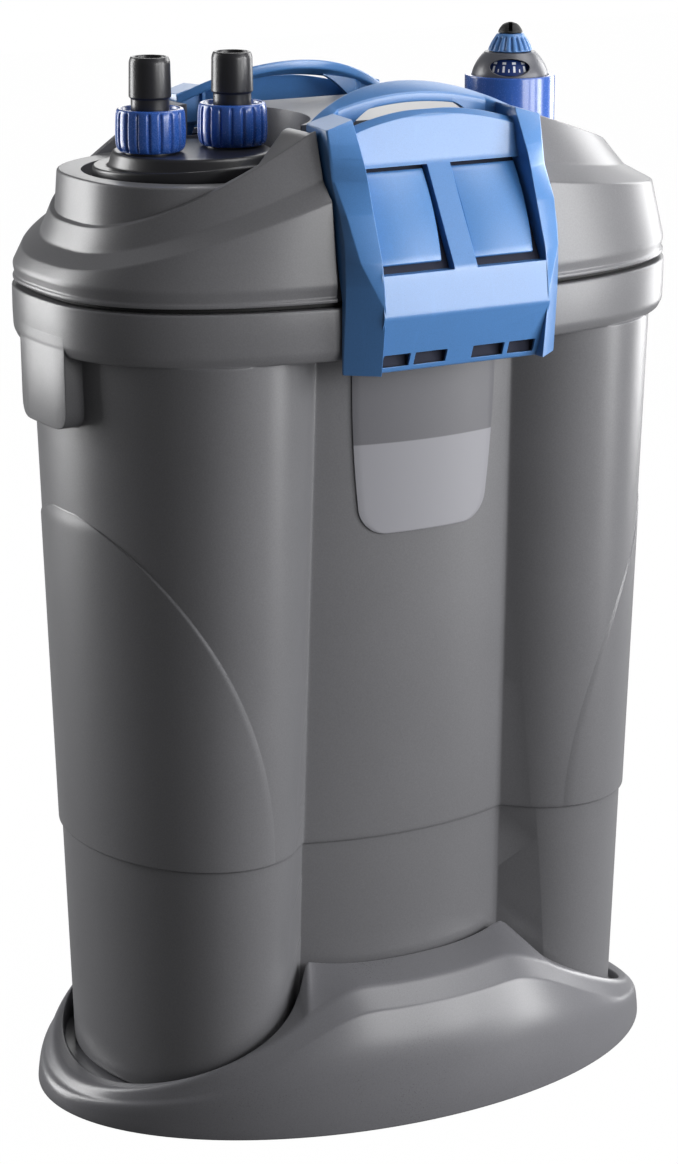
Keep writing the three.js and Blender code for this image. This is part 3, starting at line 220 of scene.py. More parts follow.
def new_piece(name, points, quads, caps=(), sharp=32):
    """A smooth-shaded object from points in millimetres, quads and flat end faces."""
    mesh = bpy.data.meshes.new(name)
    faces = [list(face) for face in quads] + [[int(i) for i in cap] for cap in caps]
    mesh.from_pydata((np.asarray(points, float) * MM).tolist(), [], faces)
    mesh.validate()
    piece = add_object(name, mesh)
    soften(piece, sharp)
    return piece


def soften(piece, sharp=32):
    """Smooth shading, with edges over an angle in degrees left sharp."""
    piece.data.shade_smooth()
    piece.data.set_sharp_from_angle(angle=math.radians(sharp))


def loft(name, rings, loop=False, sharp=32):
    """A skin over rings of equal counts, each anticlockwise about the way the chain runs.

    A flat face closes each end, unless the chain is a loop.
    """
    rings = np.asarray(rings, float)
    rows, columns = rings.shape[:2]
    ring = np.arange(columns)
    caps = [] if loop else [ring[::-1], ring + (rows - 1) * columns]
    return new_piece(name, rings.reshape(-1, 3), ring_quads(rows, columns, loop), caps, sharp)


def rounded(corners, radii, steps=4, loop=False):
    """A chain of points or rings whose corners are eased.

    At each inner corner P with neighbours A and B, the chain leaves the straight at a and
    returns to it at b, each a radius away and at most half-way, and follows the parabola
    (1-s)(1-s) a + 2 s (1-s) P + s s b between them.
    """
    corners = [np.asarray(c, float) for c in corners]
    count = len(corners)
    if np.ndim(radii) == 0:
        radii = [radii] * count
    chain = []
    for k, corner in enumerate(corners):
        if radii[k] <= 0 or (not loop and k in (0, count - 1)):
            chain.append(corner)
            continue
        ends = []
        for other in (corners[k - 1], corners[(k + 1) % count]):
            away = other - corner
            reach = np.linalg.norm(away, axis=-1, keepdims=True)
            ends.append(corner + away * np.minimum(0.48, radii[k] / np.maximum(reach, 1e-9)))
        for s in np.linspace(0, 1, steps + 1):
            chain.append((1 - s) ** 2 * ends[0] + 2 * s * (1 - s) * corner + s**2 * ends[1])
    return chain


def turned_rings(radius, heights, t, x, y, z):
    """Rings about an upright axis: (r cos t, r sin t, height), with a row for each height."""
    rings = np.empty((len(heights), len(t), 3))
    rings[..., 0] = x + radius * np.cos(t)
    rings[..., 1] = y + radius * np.sin(t)
    rings[..., 2] = z + heights
    return rings


def turned(name, profile, x=0.0, y=0.0, z=0.0, steps=96, loop=False, sharp=32):
    """A body turned about an upright axis from [radius, height] points."""
    profile = np.asarray(profile, float)
    t = np.linspace(0, 2 * math.pi, steps, endpoint=False)
    rings = turned_rings(profile[:, :1], profile[:, 1:], t, x, y, z)
    return loft(name, rings, loop=loop, sharp=sharp)


def prism(name, outline, low, high, axis):
    """An outline of points across an axis, drawn along it from low to high.

    The axes are counted from 0, and the outline's points name the other two in their order.
    """
    outline = np.asarray(outline, float)
    rings = np.empty((2, len(outline), 3))
    rings[:, :, axis] = np.array([low, high])[:, None]
    rings[:, :, [other for other in range(3) if other != axis]] = outline
    return face_outwards(loft(name, rings))


def signed_volume(mesh):
    """Six times the volume that the faces enclose, negative where they point inwards."""
    mesh.calc_loop_triangles()
    corners = np.empty(len(mesh.loop_triangles) * 3, np.int32)
    mesh.loop_triangles.foreach_get("vertices", corners)
    points = np.empty(len(mesh.vertices) * 3)
    mesh.vertices.foreach_get("co", points)
    a, b, c = points.reshape(-1, 3)[corners.reshape(-1, 3)].transpose(1, 0, 2)
    return float(np.einsum("ij,ij->", a, np.cross(b, c)))


def face_outwards(piece):
    """Turns a closed piece's faces over where they point inwards."""
    if signed_volume(piece.data) < 0:
        piece.data.flip_normals()
    return piece


def settle(piece, sharp=32):
    """Applies a piece's modifiers to its mesh."""
    graph = bpy.context.evaluated_depsgraph_get()
    graph.update()
    made = bpy.data.meshes.new_from_object(piece.evaluated_get(graph))
    before = piece.data
    piece.modifiers.clear()
    piece.data = made
    made.name = piece.name
    bpy.data.meshes.remove(before)
    soften(piece, sharp)
    return piece


def carve(piece, tools, operation="DIFFERENCE", sharp=32):
    """Cuts the tools from a piece, joins them to it or keeps what they share with it."""
    for tool in tools:
        step = piece.modifiers.new("shape", "BOOLEAN")
        step.operation = operation
        step.solver = "EXACT"
        step.object = tool
    settle(piece, sharp)
    for tool in tools:
        bpy.data.objects.remove(tool)
    if not len(piece.data.polygons):
        raise RuntimeError(f"{piece.name} has nothing left after {operation.lower()}")
    return piece


def ease_edges(piece, width, angle=30):
    """Rounds a piece's edges over an angle in degrees to a width in millimetres."""
    step = piece.modifiers.new("ease", "BEVEL")
    step.width = width * MM
    step.segments = 3
    step.limit_method = "ANGLE"
    step.angle_limit = math.radians(angle)
    step.use_clamp_overlap = True
    return settle(piece)


def join_pieces(first, *more):
    """Puts separate closed bodies into one object."""
    with bpy.context.temp_override(
        active_object=first, selected_editable_objects=[first, *more], selected_objects=[first, *more]
    ):
        bpy.ops.object.join()
    return first


def block(name, low, high):
    """A box between two corners."""
    (x0, y0, z0), (x1, y1, z1) = low, high
    return prism(name, [[x0, y0], [x1, y0], [x1, y1], [x0, y1]], z0, z1, 2)


def half_turned(piece, name):
    """A copy of a piece turned half round the upright axis."""
    mesh = piece.data.copy()
    mesh.transform(Matrix.Rotation(math.pi, 4, "Z"))
    return add_object(name, mesh)


# ---- Outlines ----

DRAFT = 0.0325
COLUMNS = 480
SQUARENESS = 2.66


def lean(z):
    """How far the canister's wall leans in at a height below the collar."""
    return DRAFT * (COLLAR_LOW - z)


def lobe_line(x, inset):
    """Half depth of a lobe at a place along X, an ellipse."""
    a = size("lobe_length") - inset
    b = size("lobe_depth") - inset
    share = (np.abs(x) - size("lobe_spacing") / 2) / a
    return b * np.sqrt(np.maximum(0, 1 - share**2))


def panel_line(x, inset):
    """Half depth of the middle panel at a place along X, a shallow arc."""
    radius = size("panel_radius")
    return size("panel_depth") - inset - radius + np.sqrt(np.maximum(0, radius**2 - x**2))


def crease_x(inset):
    """Where a lobe meets the middle panel."""
    x = np.linspace(0, size("lobe_spacing") / 2, 2000)
    return float(x[np.argmax(lobe_line(x, inset) > panel_line(x, inset))])


def crease_angle(inset):
    """Direction of the crease from the axis, as a turn from the X axis."""
    x = crease_x(inset)
    return math.atan2(float(panel_line(x, inset)), x)


def follow_crease(angles, inset):
    """Directions turned so that the columns on the crease at the collar stay on it at an inset.

    Each quarter is stretched below the crease and shrunk above it, or the other way round.
    """
    folded = np.arctan2(np.abs(np.sin(angles)), np.abs(np.cos(angles)))
    stops_here = [0, crease_angle(inset), math.pi / 2]
    moved = np.interp(folded, [0, crease_angle(0), math.pi / 2], stops_here)
    return np.arctan2(
        np.sign(np.sin(angles)) * np.sin(moved), np.where(np.cos(angles) < 0, -1, 1) * np.cos(moved)
    )


def lobed_radius(angles, inset, panel_inset=None, ease=None):
    """Distance from the axis to the canister's section in each direction.

    The section is the larger of the lobe's ellipse and the panel's arc. Where the two are
    close, the larger is taken as half their sum plus half the root of their squared
    difference and the squared ease, which rounds the crease.
    """
    panel_inset = inset if panel_inset is None else panel_inset
    ease = size("crease") if ease is None else ease
    centre = size("lobe_spacing") / 2
    a = size("lobe_length") - inset
    b = size("lobe_depth") - inset
    t = np.linspace(0, math.pi / 2, 300)
    x_lobe, y_lobe = centre + a * np.cos(t), b * np.sin(t)
    x = np.linspace(centre, 0, 1200)[1:]
    lobe, panel = lobe_line(x, inset), panel_line(x, panel_inset)
    y = (lobe + panel + np.sqrt((lobe - panel) ** 2 + ease**2)) / 2
    x, y = np.concatenate([x_lobe, x]), np.concatenate([y_lobe, y])
    folded = np.arctan2(np.abs(np.sin(angles)), np.abs(np.cos(angles)))
    return np.interp(folded, np.arctan2(y, x), np.hypot(x, y))


def rim_radius(angles, inset=0.0):
    """Distance from the axis to the rim's superellipse in each direction."""
    a, b = size("rim_length") - inset, size("rim_depth") - inset
    along, across = np.abs(np.cos(angles)) / a, np.abs(np.sin(angles)) / b
    return (along**SQUARENESS + across**SQUARENESS) ** (-1 / SQUARENESS)


def polar_ring(angles, radius, z):
    """A ring from a distance in each direction, at a height."""
    x, y = radius * np.cos(angles), radius * np.sin(angles)
    return np.stack([x, y, np.broadcast_to(z, angles.shape)], -1)


def canister_angles():
    """Directions of the canister's columns, closer together at the creases."""
    t = np.linspace(0, math.pi / 2, 2000)
    r = lobed_radius(t, 0)
    x, y = r * np.cos(t), r * np.sin(t)
    crease = crease_x(0)
    weight = 1 + 9 * np.exp(-(((x - crease) / 2.2) ** 2))
    length = np.concatenate([[0], np.cumsum(np.hypot(np.diff(x), np.diff(y)) * weight[1:])])
    quarter = np.interp(np.linspace(0, length[-1], COLUMNS // 4 + 1), length, t)
    half = np.concatenate([quarter, math.pi - quarter[-2::-1]])
    return np.concatenate([half, half[1:-1] + math.pi])


def smooth_step(value):
    """From 0 to 1 along 3 s s - 2 s s s."""
    s = np.clip(value, 0, 1)
    return s * s * (3 - 2 * s)


# ---- Canister ----

FIELD_HEIGHT = 158.0


def field_edge(z):
    """|x| of the edge of a lobe's raised end field at a height.

    It runs up from the step and sweeps out to the lobe's end: 78.3 + 66.7 s to the power
    1.9, where s is the share of the field's height.
    """
    return 78.3 + 66.7 * np.clip((z - STEP_Z) / FIELD_HEIGHT, 0, 1) ** 1.9


def make_end_field(side):
    """A lobe's raised end field: rows from its front edge round the lobe's end to its rear edge.

    Each row is an outer line that stands out by the relief and an inner line in the wall.
    """
    even = np.linspace(0, math.pi / 2, 900)
    rings = []
    for z in np.concatenate([[STEP_Z + 0.4], STEP_Z + (FIELD_HEIGHT - 1) * np.linspace(0.01, 1, 70)]):
        radius = lobed_radius(even, lean(z))
        edge = np.interp(field_edge(z), (radius * np.cos(even))[::-1], even[::-1])
        t = np.linspace(-edge, edge, 161)
        radius = lobed_radius(t, lean(z))
        margin = (edge - np.abs(t)) * radius
        fade = min(1.0, (STEP_Z + FIELD_HEIGHT - z) / 6)
        rise = size("relief") * np.sqrt(np.clip(margin / 0.5, 0, 1)) * fade
        outer, inner = radius + rise, radius - 1.2
        line = np.concatenate([t, t[::-1]])
        rings.append(polar_ring(line, np.concatenate([outer, inner[::-1]]), z))
    rings = np.array(rings)
    rings[..., 0] *= side
    return face_outwards(loft(f"end_field_{side}", rings, sharp=50))


def make_lug(side):
    """A lug that hangs under the collar at one end: a tongue with rounded lower corners.

    Its face keeps to the rim's curve, because the tongue is cut to the rim's outline.
    """
    half, low, high = 22.0, COLLAR_LOW - 32.5, COLLAR_LOW + 9
    outline = rounded([[-half, low], [half, low], [half, high], [-half, high]], [9, 9, 0, 0], 8, True)
    tongue = prism(f"lug_{side}", outline, *sorted((side * 144.0, side * 160.0)), 0)
    angles = canister_angles()
    levels = ((0.9, low - 2), (0.32, high + 2))
    skin = loft("skin", [polar_ring(angles, rim_radius(angles, inset), z) for inset, z in levels])
    return ease_edges(carve(tongue, [skin], "INTERSECT"), 0.7)


def make_canister():
    """The canister: rings of its section up to the collar, the rim, and back down inside."""
    angles = canister_angles()
    wall = 3.0

    def body(z, more):
        """A ring of the lobed wall at a height, with an inset on top of the lean."""
        turned_to = follow_crease(angles, lean(z) + more)
        return polar_ring(turned_to, lobed_radius(turned_to, lean(z) + more), z)

    def rim(inset, z):
        """A ring of the collar at an inset and a height."""
        return polar_ring(angles, rim_radius(angles, inset), z)

    heights = np.concatenate(
        [
            np.linspace(CANISTER_LOW + 6, STEP_Z - 1.2, 8),
            [STEP_Z - 0.5, STEP_Z - 0.25, STEP_Z + 0.05, STEP_Z + 0.5],
            np.linspace(STEP_Z + 2, COLLAR_LOW - 1.2, 40),
        ]
    )
    rings = rounded(
        [body(CANISTER_LOW, 12), body(CANISTER_LOW, 1), body(CANISTER_LOW + 5.5, 1)], 5, 6
    )[1:]
    for z in heights:
        below = 1 - float(smooth_step((z - STEP_Z + 0.4) / 0.6))
        rings.append(body(z, below))
    face = rim(0, COLLAR_LOW + 12)
    ledge = [rings[-1], body(COLLAR_LOW, 0), rim(2.2, COLLAR_LOW), rim(0.3, COLLAR_LOW + 4), face]
    rings += rounded(ledge, [0, 0.8, 1.2, 1.6, 0], 4)[1:]
    rings += rounded([face, rim(0, RIM_TOP), rim(4, RIM_TOP), rim(8, RIM_TOP)], [0, 1.0, 0, 0], 3)[1:]
    rings += [body(RIM_TOP - 1.0, wall), body(STEP_Z, wall + 1), body(CANISTER_LOW + 6, wall + 1)]
    rings.append(body(CANISTER_LOW + wall, wall + 5))
    ends = [make(side) for make in (make_lug, make_end_field) for side in (-1, 1)]
    return join_pieces(loft("canister", rings, sharp=40), *ends)


# ---- Label and seal ----

FIELD_BORDER_Z = 312.5


def make_label():
    """The label plate, bent to the middle panel: rows across it, with eased lower corners.

    A row's half width is the plate's, less a share of the squared way down and a quarter
    circle at the lower corners. The face stands 1.1 mm off the panel and the back 0.3 mm.
    """
    low, high, half, corner, middle = 270.8, 349.0, 37.5, 12.0, 2.0
    drop = corner * (1 - np.cos(np.linspace(0, math.pi / 2, 14)))
    heights = np.concatenate([low + drop, np.linspace(low + corner, high, 30)[1:]])
    fall = np.clip((heights - low) / corner, 0, 1)
    widths = half - 0.0009 * (high - heights) ** 2 - corner * (1 - np.sqrt(1 - (1 - fall) ** 2))
    share = np.linspace(-1, 1, 41)
    rings = []
    for z, width in zip(heights, widths):
        x = middle + share * width
        panel = -panel_line(x, lean(z))
        edge = np.minimum(1, (1 - np.abs(share)) * width / 0.5) * min(1, max(0.0, (z - low) / 0.5))
        face = panel - 1.1 + 0.3 * (1 - np.sqrt(1 - (1 - edge) ** 2))
        front = np.stack([x, face, np.full_like(x, z)], -1)
        back = np.stack([x, panel - 0.3, np.full_like(x, z)], -1)[::-1]
        rings.append(np.concatenate([front, back]))
    return face_outwards(loft("label", rings, sharp=45))


def make_seal():
    """The seal between the rim and the lid: a flat ring with eased edges."""
    outer, inner, low = 4.2, 9, RIM_TOP + 0.2
    high = low + 2
    corners = [lid_ring(outer, low), lid_ring(outer, high), lid_ring(inner, high), lid_ring(inner, low)]
    return loft("rim_gasket", rounded(corners, 0.4, 3, loop=True), loop=True)


# ---- Foot ----


def foot_edge(x, end, horn):
    """Height of the foot's inner edge at a place along X.

    Between the creases it is the hump's height, rising to the horns with the fourth power
    of the share of the way. Outside, it falls to the end's height as 0.75 s to the 0.85
    plus 0.25 s to the ninth.
    """
    reach = np.abs(x)
    top, hump, low = size("foot_horn"), size("foot_hump"), size("foot_end")
    middle = hump + (top - hump) * np.minimum(reach / horn, 1) ** 4
    s = np.clip((end - reach) / (end - horn), 0, 1)
    outside = low + (top - low) * (0.75 * s**0.85 + 0.25 * s**9)
    return np.where(reach < horn, middle, outside)


def spread_out(values, degrees):
    """Values round the axis, at equal turns, each spread over its neighbours as a bell curve.

    Their waves are weighted with e to minus half the squared wave count times the spread.
    """
    waves = np.fft.rfft(values)
    count = np.arange(len(waves)) * math.radians(degrees)
    return np.fft.irfft(waves * np.exp(-(count**2) / 2), len(values))


def make_foot():
    """The foot tray: a wall from the floor outline, over a ridge, to the edge round the canister.

    The edge follows the canister and its creases. The ridge and the wall under it follow the
    same line spread out, so that they run smoothly past the creases.
    """
    angles = canister_angles()
    inset = lean(FLOOR_TOP)
    gap, panel_gap = 4.5, 4.0
    end = size("lobe_spacing") / 2 + size("lobe_length") - inset + gap
    horn = crease_x(lean(size("foot_horn")) - 2)
    sole, hollow = 0.8, 8.0

    def edge(turn):
        """Distance and height of the inner edge in each direction."""
        radius = lobed_radius(turn, inset - gap, inset - panel_gap, ease=5.0)
        return radius, foot_edge(radius * np.cos(turn), end, horn)

    even = np.linspace(0, 2 * math.pi, 720, endpoint=False)
    radius, height = edge(angles)
    soft_radius, soft_height = (
        np.interp(angles, even, spread_out(values, 7), period=2 * math.pi) for values in edge(even)
    )
    inner, soft = polar_ring(angles, radius, height), polar_ring(angles, soft_radius, 0.0)
    u = np.clip(soft[:, 0] / soft[:, 0].max(), -1, 1)
    outer_x = size("foot_length") * u
    outer_y = np.sign(soft[:, 1]) * size("foot_depth") * np.sqrt(1 - u**2)

    def at_outline(scale, z):
        """The floor outline, scaled, at a height."""
        return np.stack([outer_x * scale, outer_y * scale, np.full_like(u, z)], -1)

    outer = at_outline(1, sole)

    def between(share, z):
        """A ring part of the way from the spread edge to the floor outline."""
        ring = soft + (outer - soft) * share
        ring[:, 2] = z
        return ring

    floor = polar_ring(angles, radius, FLOOR_TOP)
    rings = rounded(
        [
            at_outline(0.91, hollow),
            at_outline(0.93, hollow),
            at_outline(0.93, sole),
            outer,
            between(0.985, 0.2 * soft_height),
            between(0.9, 0.54 * soft_height),
            between(0.72, soft_height - np.minimum(12.5, 0.36 * soft_height)),
            between(0.48, soft_height - np.minimum(4.0, 0.12 * soft_height)),
            inner,
            floor,
            floor * [0.97, 0.97, 1],
        ],
        [0, 0, 0, 0.8, 8, 9, 0.9, 2.6, 1.2, 1.5, 0],
        6,
    )
    places = [(x, y) for y in (-70, 70) for x in (-93, 93)]
    bosses = [turned("boss", [[12, 4.2], [12, hollow + 0.6]], x, y, steps=32) for x, y in places]
    return join_pieces(loft("foot", rings, sharp=50), *bosses)


# ---- Lid ----

LATCH_OPENING = 55.5
FAR_FRONT = -121.0
LID_COLUMNS = 360
LID_ROOF = RIM_TOP + 36.0


def lid_ring(inset, height):
    """A ring of the lid: the rim's superellipse, drawn in by an inset, at a height.

    Inset and height may follow X: the inset at the rim's own X, the height at the drawn X.
    """
    power = 2 / SQUARENESS
    t = 2 * math.pi * np.arange(LID_COLUMNS) / LID_COLUMNS
    u = np.sign(np.cos(t)) * np.abs(np.cos(t)) ** power
    v = np.sign(np.sin(t)) * np.abs(np.sin(t)) ** power
    drawn = inset(u * size("rim_length")) if callable(inset) else inset
    x = u * (size("rim_length") - drawn)
    y = v * (size("rim_depth") - drawn)
    z = height(x) if callable(height) else np.full_like(x, height)
    return np.stack([x, y, z], -1)


def along_lid(left, middle, right, sag=1.0):
    """A value that runs from the lid's left end to the latch opening and on to its right end.

    On the left it follows the share of the way to the power of the sag.
    """

    def at(x):
        """The value at places along X."""
        end = np.where(x < 0, left, right)
        half = size("rim_length")
        share = np.clip((half - np.abs(x)) / (half - LATCH_OPENING), 0, 1)
        return end + (middle - end) * np.where(x < 0, share**sag, share)

    return at


def above_rim(height, limit=1e9):
    """A height over the rim as a height over the floor."""
    return lambda x: RIM_TOP + np.minimum(height(x), limit)


def ruled_top(columns, first):
    """Quads across a ring that is its own mirror image in Y, from its +X end to its -X end."""
    i = np.arange(1, columns // 2 - 1)
    strips = np.stack([i, i + 1, columns - i - 1, columns - i], -1)
    ends = [[0, 1, columns - 1], [columns // 2 - 1, columns // 2, columns // 2 + 1]]
    return (strips + first).tolist() + (np.array(ends) + first).tolist()


def make_lid():
    """The lid: terraced tiers round it, cut by the connector's well and the latches' bays."""
    skirt = along_lid(13.5, 45, 33.2)
    ledge = along_lid(16.0, 53, 38.0)
    ridge = along_lid(25.5, 73.7, 42.8, sag=1.2)
    ridge_inset = along_lid(16.5, 19, 28.5)
    crown = 72.0
    fin = size("fin")
    above = RIM_TOP + crown + 30
    corners = [
        lid_ring(5, LID_LOW),
        lid_ring(0.5, LID_LOW),
        lid_ring(0.4, LID_LOW + 1.5),
        lid_ring(1.3, LID_LOW + 2.3),
        lid_ring(0.4, LID_LOW + 7),
        lid_ring(along_lid(4.3, 5, 6), above_rim(skirt)),
        lid_ring(along_lid(12.5, 12.5, 19), above_rim(ledge)),
        lid_ring(ridge_inset, above_rim(ridge)),
        lid_ring(lambda x: ridge_inset(x) + fin, above_rim(ridge, crown)),
    ]
    rings = np.array(rounded(corners, [0, 0.6, 0.5, 0.6, 1.5, 0.8, 0.9, 0.6, 0], 4))
    rows, columns = rings.shape[:2]
    quads = ring_quads(rows, columns) + ruled_top(columns, (rows - 1) * columns)
    lid = new_piece("lid", rings.reshape(-1, 3), quads, [np.arange(columns)[::-1]])
    plate_top = PLATE_Z - 0.05
    tier = [lid_ring(17.3, RIM_TOP + 13.5), lid_ring(20, plate_top), lid_ring(26, plate_top)]
    plate = loft("plate", rounded(tier, [0, 1.4, 0], 4))
    left_half = block("left_half", (-170, -100, RIM_TOP), (0, 100, RIM_TOP + 60))
    carve(plate, [left_half], "INTERSECT")
    carve(lid, [plate], "UNION")
    well = rounded([[46, RECESS_Z], [49, RECESS_Z], [49, above]], [0, 0.8, 0], 3)
    hollow = ((9, LID_LOW - 1), (12, RIM_TOP + 12.5), (18.5, RIM_TOP + 20.5), (26, LID_ROOF))
    cutters = [
        valley_tool(ridge_inset, fin, above),
        turned("well", well, CONNECTOR_X, steps=128),
        bay_tool(-1, above),
        bay_tool(1, above),
        loft("hollow", [lid_ring(inset, z) for inset, z in hollow]),
        turned("stem_bore", [[39.3, LID_LOW], [39.3, RECESS_Z + 1]], CONNECTOR_X),
        turned("pump_bay", [[34, LID_LOW], [34, RIM_TOP + 61.5]], PUMP_X),
        turned("sleeve_bore", [[21.1, LID_LOW], [21.1, above]], HEATER_X),
    ]
    return carve(lid, cutters, sharp=20)


def valley_tool(ridge_inset, fin, above):
    """The open space over the left plate: between the fins, and round at the connector."""
    edge = lid_ring(lambda x: ridge_inset(x) + fin - 0.3, PLATE_Z)[:, :2]
    edge = edge[edge[:, 0] < CONNECTOR_X]
    radius, sweep = 52, math.radians(70)
    t = np.linspace(-sweep, sweep, 61)
    arc = np.stack([CONNECTOR_X + radius * np.cos(t), radius * np.sin(t)], -1)
    return prism("valley", np.concatenate([arc, edge]), PLATE_Z, above, 2)


def bay_tool(side, above):
    """The bay that a latch lies in: sloped behind the windows, then a deep back wall."""
    back = -41.5
    outline = [
        [FAR_FRONT, above],
        [back, above],
        [back, PIVOT_Z - 8.5],
        [PIVOT_Y + 1, PIVOT_Z - 11.8],
        [-84.6, RIM_TOP + 17.3],
        [-86.0, LID_LOW - 1],
        [FAR_FRONT, LID_LOW - 1],
    ]
    outline = [[y * -side, z] for y, z in outline]
    return prism("bay", outline, -LATCH_OPENING, LATCH_OPENING, 0)


# ---- Latch: heights are above the rim's top ----


def stops(z, line):
    """A value that runs straight between [height, value] stops."""
    line = np.asarray(line, float)
    return np.interp(z, line[:, 0], line[:, 1])


LATCH_SHARP = 14
FOOT_Z = -28.8
TOP_EDGE = (-74.0, 77.4)
WINDOW_TOP = (-79.0, 57.7)
WINDOW_LOW = (-102.6, 15.3)
LOWER_FOLD = (-104.9, -3.6)
LOWER_TIP = (-95.7, FOOT_Z)
MULLION = 5.8
SLOTS = ((6.6, 22.8), (25.2, 38.8))
SLOT_BACK = -94.4
SLOT_HEIGHTS = (-26.3, -20.6)


def latch_rail(side):
    """A side rail and its pivot block: level sections from the foot up.

    Each section has an inner front edge, an edge where the front face turns, an outer
    front edge and a back, whose places follow the height along straight stops. The last
    section is the block's sloped top. Its edges are eased, and its two ends drawn in.
    """
    inner, outer = size("rail_inner"), size("latch_width")
    fold, fold_back = -0.3, 3.7
    front_line = [
        [FOOT_Z, -101.3], [fold, -104.9], [17.3, -102.9], [36.7, -95.5], [57.7, -88], [77.6, -76.6],
    ]
    turn_x = [[fold, 41.5], [20, 50.2], [39.5, 52.7], [74.3, 53.8]]
    turn_y = [[FOOT_Z, -101.1], [fold, -104.7], [20, -98.6], [39.5, -91], [53.3, -81.6], [74.3, -77.1]]
    side_line = [
        [FOOT_Z, -90.4], [fold, -92.5], [14, -92.9], [28, -91.6], [39.5, -87.8], [53.3, -80.8], [74.1, -76.4],
    ]
    back_line = [[fold_back, -89.4], [17.3, -86], [50, -72.5], [59.5, -66], [62, -58.8]]
    sections = []
    for z in (FOOT_Z, fold, fold_back, 10, 20, 28, 39.5, 53.3, 59.5, 62, 68):
        back = stops(z, back_line)
        sections.append([
            [inner, stops(z, front_line), z],
            [stops(z, turn_x), stops(z, turn_y), z],
            [outer, stops(z, side_line), z],
            [outer, back, z],
            [inner, back - (1 if z <= fold_back else 0), z],
        ])
    sections.append([
        [inner, -76.6, 77.8], [outer - 0.5, -77.1, 74.3], [outer, -76.4, 74.1], [outer, -59.2, 75.2],
        [inner, -58.8, 78.7],
    ])
    sections = np.array(sections)
    ends = sections[[0, -1]]
    ends[..., :2] += (ends.mean(1, keepdims=True) - ends)[..., :2] * 0.035
    sections[0, :, 2] += 0.9
    sections[-1, :, 2] -= 0.7
    sections = np.concatenate([ends[:1], sections, ends[1:]])
    rings = [np.array(rounded(list(s), [0.5, 0.4, 0.5, 0.8, 0.5], 3, loop=True)) for s in sections]
    rings = np.array(rounded(rings, [0] + [0.8] * (len(rings) - 2) + [0], 2))
    return latch_form(f"rail_{side}", rings, side, LATCH_SHARP)


def latch_form(name, rings, side=1, sharp=32):
    """A part of the latch from rings whose heights are above the rim, for either side."""
    rings = np.array(rings)
    rings[..., 2] += RIM_TOP
    rings[..., 0] *= side
    return face_outwards(loft(name, rings, sharp=sharp))


def arch_drop(x, radius):
    """How far an arch of a radius has fallen at a place along X."""
    return radius - np.sqrt(radius**2 - x**2)


def grip_front(x):
    """Y and height of the grip's front edge, which steps forward at the blocks."""
    side = smooth_step((np.abs(x) - size("rail_inner") + 4) / 4)
    return -58 - 2.8 * side, 85 - arch_drop(x, 136)


def latch_grip():
    """The arched grip: a band from block to block whose back edge rises and sweeps back."""
    reach = size("latch_width") - 0.6
    x = np.linspace(-reach, reach, 61)
    back_y = -45 - 14 * (x / reach) ** 2
    back_z = 89.2 - arch_drop(x, 108)
    front_y, front_z = grip_front(x)
    front_z = np.minimum(front_z, back_z)
    thick = 4.4
    edges = ((back_y, back_z), (front_y, front_z), (front_y, front_z - thick), (back_y, back_z - thick))
    corners = [np.stack([x, y, z], -1) for y, z in edges]
    lines = np.array(rounded(corners, [1.6, 1.2, 1.0, 1.2], 4, loop=True))
    return latch_form("grip", lines.transpose(1, 0, 2))


def latch_web(side):
    """The web under one end of the grip, flush with its face; its lower edge falls to the block.

    The lower edge drops with the share of the way to the power of 1.6.
    """
    x = np.linspace(20, size("rail_inner") + 1, 15)
    front_y, front_z = grip_front(x)
    flush, top = front_y - 0.05, front_z - 2.0
    low = top - 1.6 - (top - 63.6) * ((x - x[0]) / (x[-1] - x[0])) ** 1.6
    edges = ((flush + 4, top), (flush, top), (flush, low), (flush + 4, low))
    corners = [np.stack([x, y, z], -1) for y, z in edges]
    return latch_form(f"web_{side}", np.array(corners).transpose(1, 0, 2), side)


def latch_plate():
    """The folded front plate, with an arched top edge, two windows and a row of slots."""
    front = [TOP_EDGE, WINDOW_TOP, WINDOW_LOW, LOWER_FOLD, LOWER_TIP]
    back = [
        [-86, FOOT_Z], [-86, -25.1], [-91.7, -25.1], [-100.9, -2.8], [-98.6, 13.9], [-75, 56.3], [-70, 79.6],
    ]
    radii = [0.9, 1.6, 1.6, 1.0, 1.2, 0.8, 0.8, 0.6, 1.5, 3.0, 4.0, 0.9]
    outline = np.array(rounded(front + back, radii, 4, loop=True))
    outline[:, 1] += RIM_TOP
    inner = size("rail_inner")
    plate = prism("plate", outline, -inner - 1, inner + 1, 0)
    rise, slope = 5.5, 0.55
    radius = (inner**2 + rise**2) / (2 * rise)
    x = np.linspace(-inner - 3, inner + 3, 41)
    crown = TOP_EDGE[1] - arch_drop(x, radius)
    rings = []
    for y in (-110, -50):
        low = np.stack([x, np.full_like(x, y), crown + slope * (y - TOP_EDGE[0])], -1)
        high = np.stack([x[::-1], np.full_like(x, y), np.full_like(x, 110)], -1)
        rings.append(np.concatenate([low, high]))
    tools = [latch_form("arch", rings)]
    for side in (-1, 1):
        tools.append(window_tool(side, (MULLION, inner), (14.5, 56.9), PIVOT_Y))
        for places in SLOTS:
            tools.append(window_tool(side, places, SLOT_HEIGHTS, SLOT_BACK))
    return carve(plate, tools, sharp=LATCH_SHARP)


def window_tool(side, places, heights, back):
    """A bar along Y with eased corners, which cuts a window or a slot on one side."""
    x0, x1 = sorted(side * x for x in places)
    z0, z1 = (RIM_TOP + z for z in heights)
    ring = rounded([[x0, z0], [x1, z0], [x1, z1], [x0, z1]], 0.4, 3, loop=True)
    return prism("window", ring, FAR_FRONT, back, 1)


def make_latch_frame():
    """The front latch: plate, rails, webs and grip joined."""
    latch = latch_plate()
    latch.name = "front_latch"
    parts = [latch_rail(1), latch_rail(-1), latch_web(1), latch_web(-1), latch_grip()]
    return carve(latch, parts, "UNION", sharp=LATCH_SHARP)


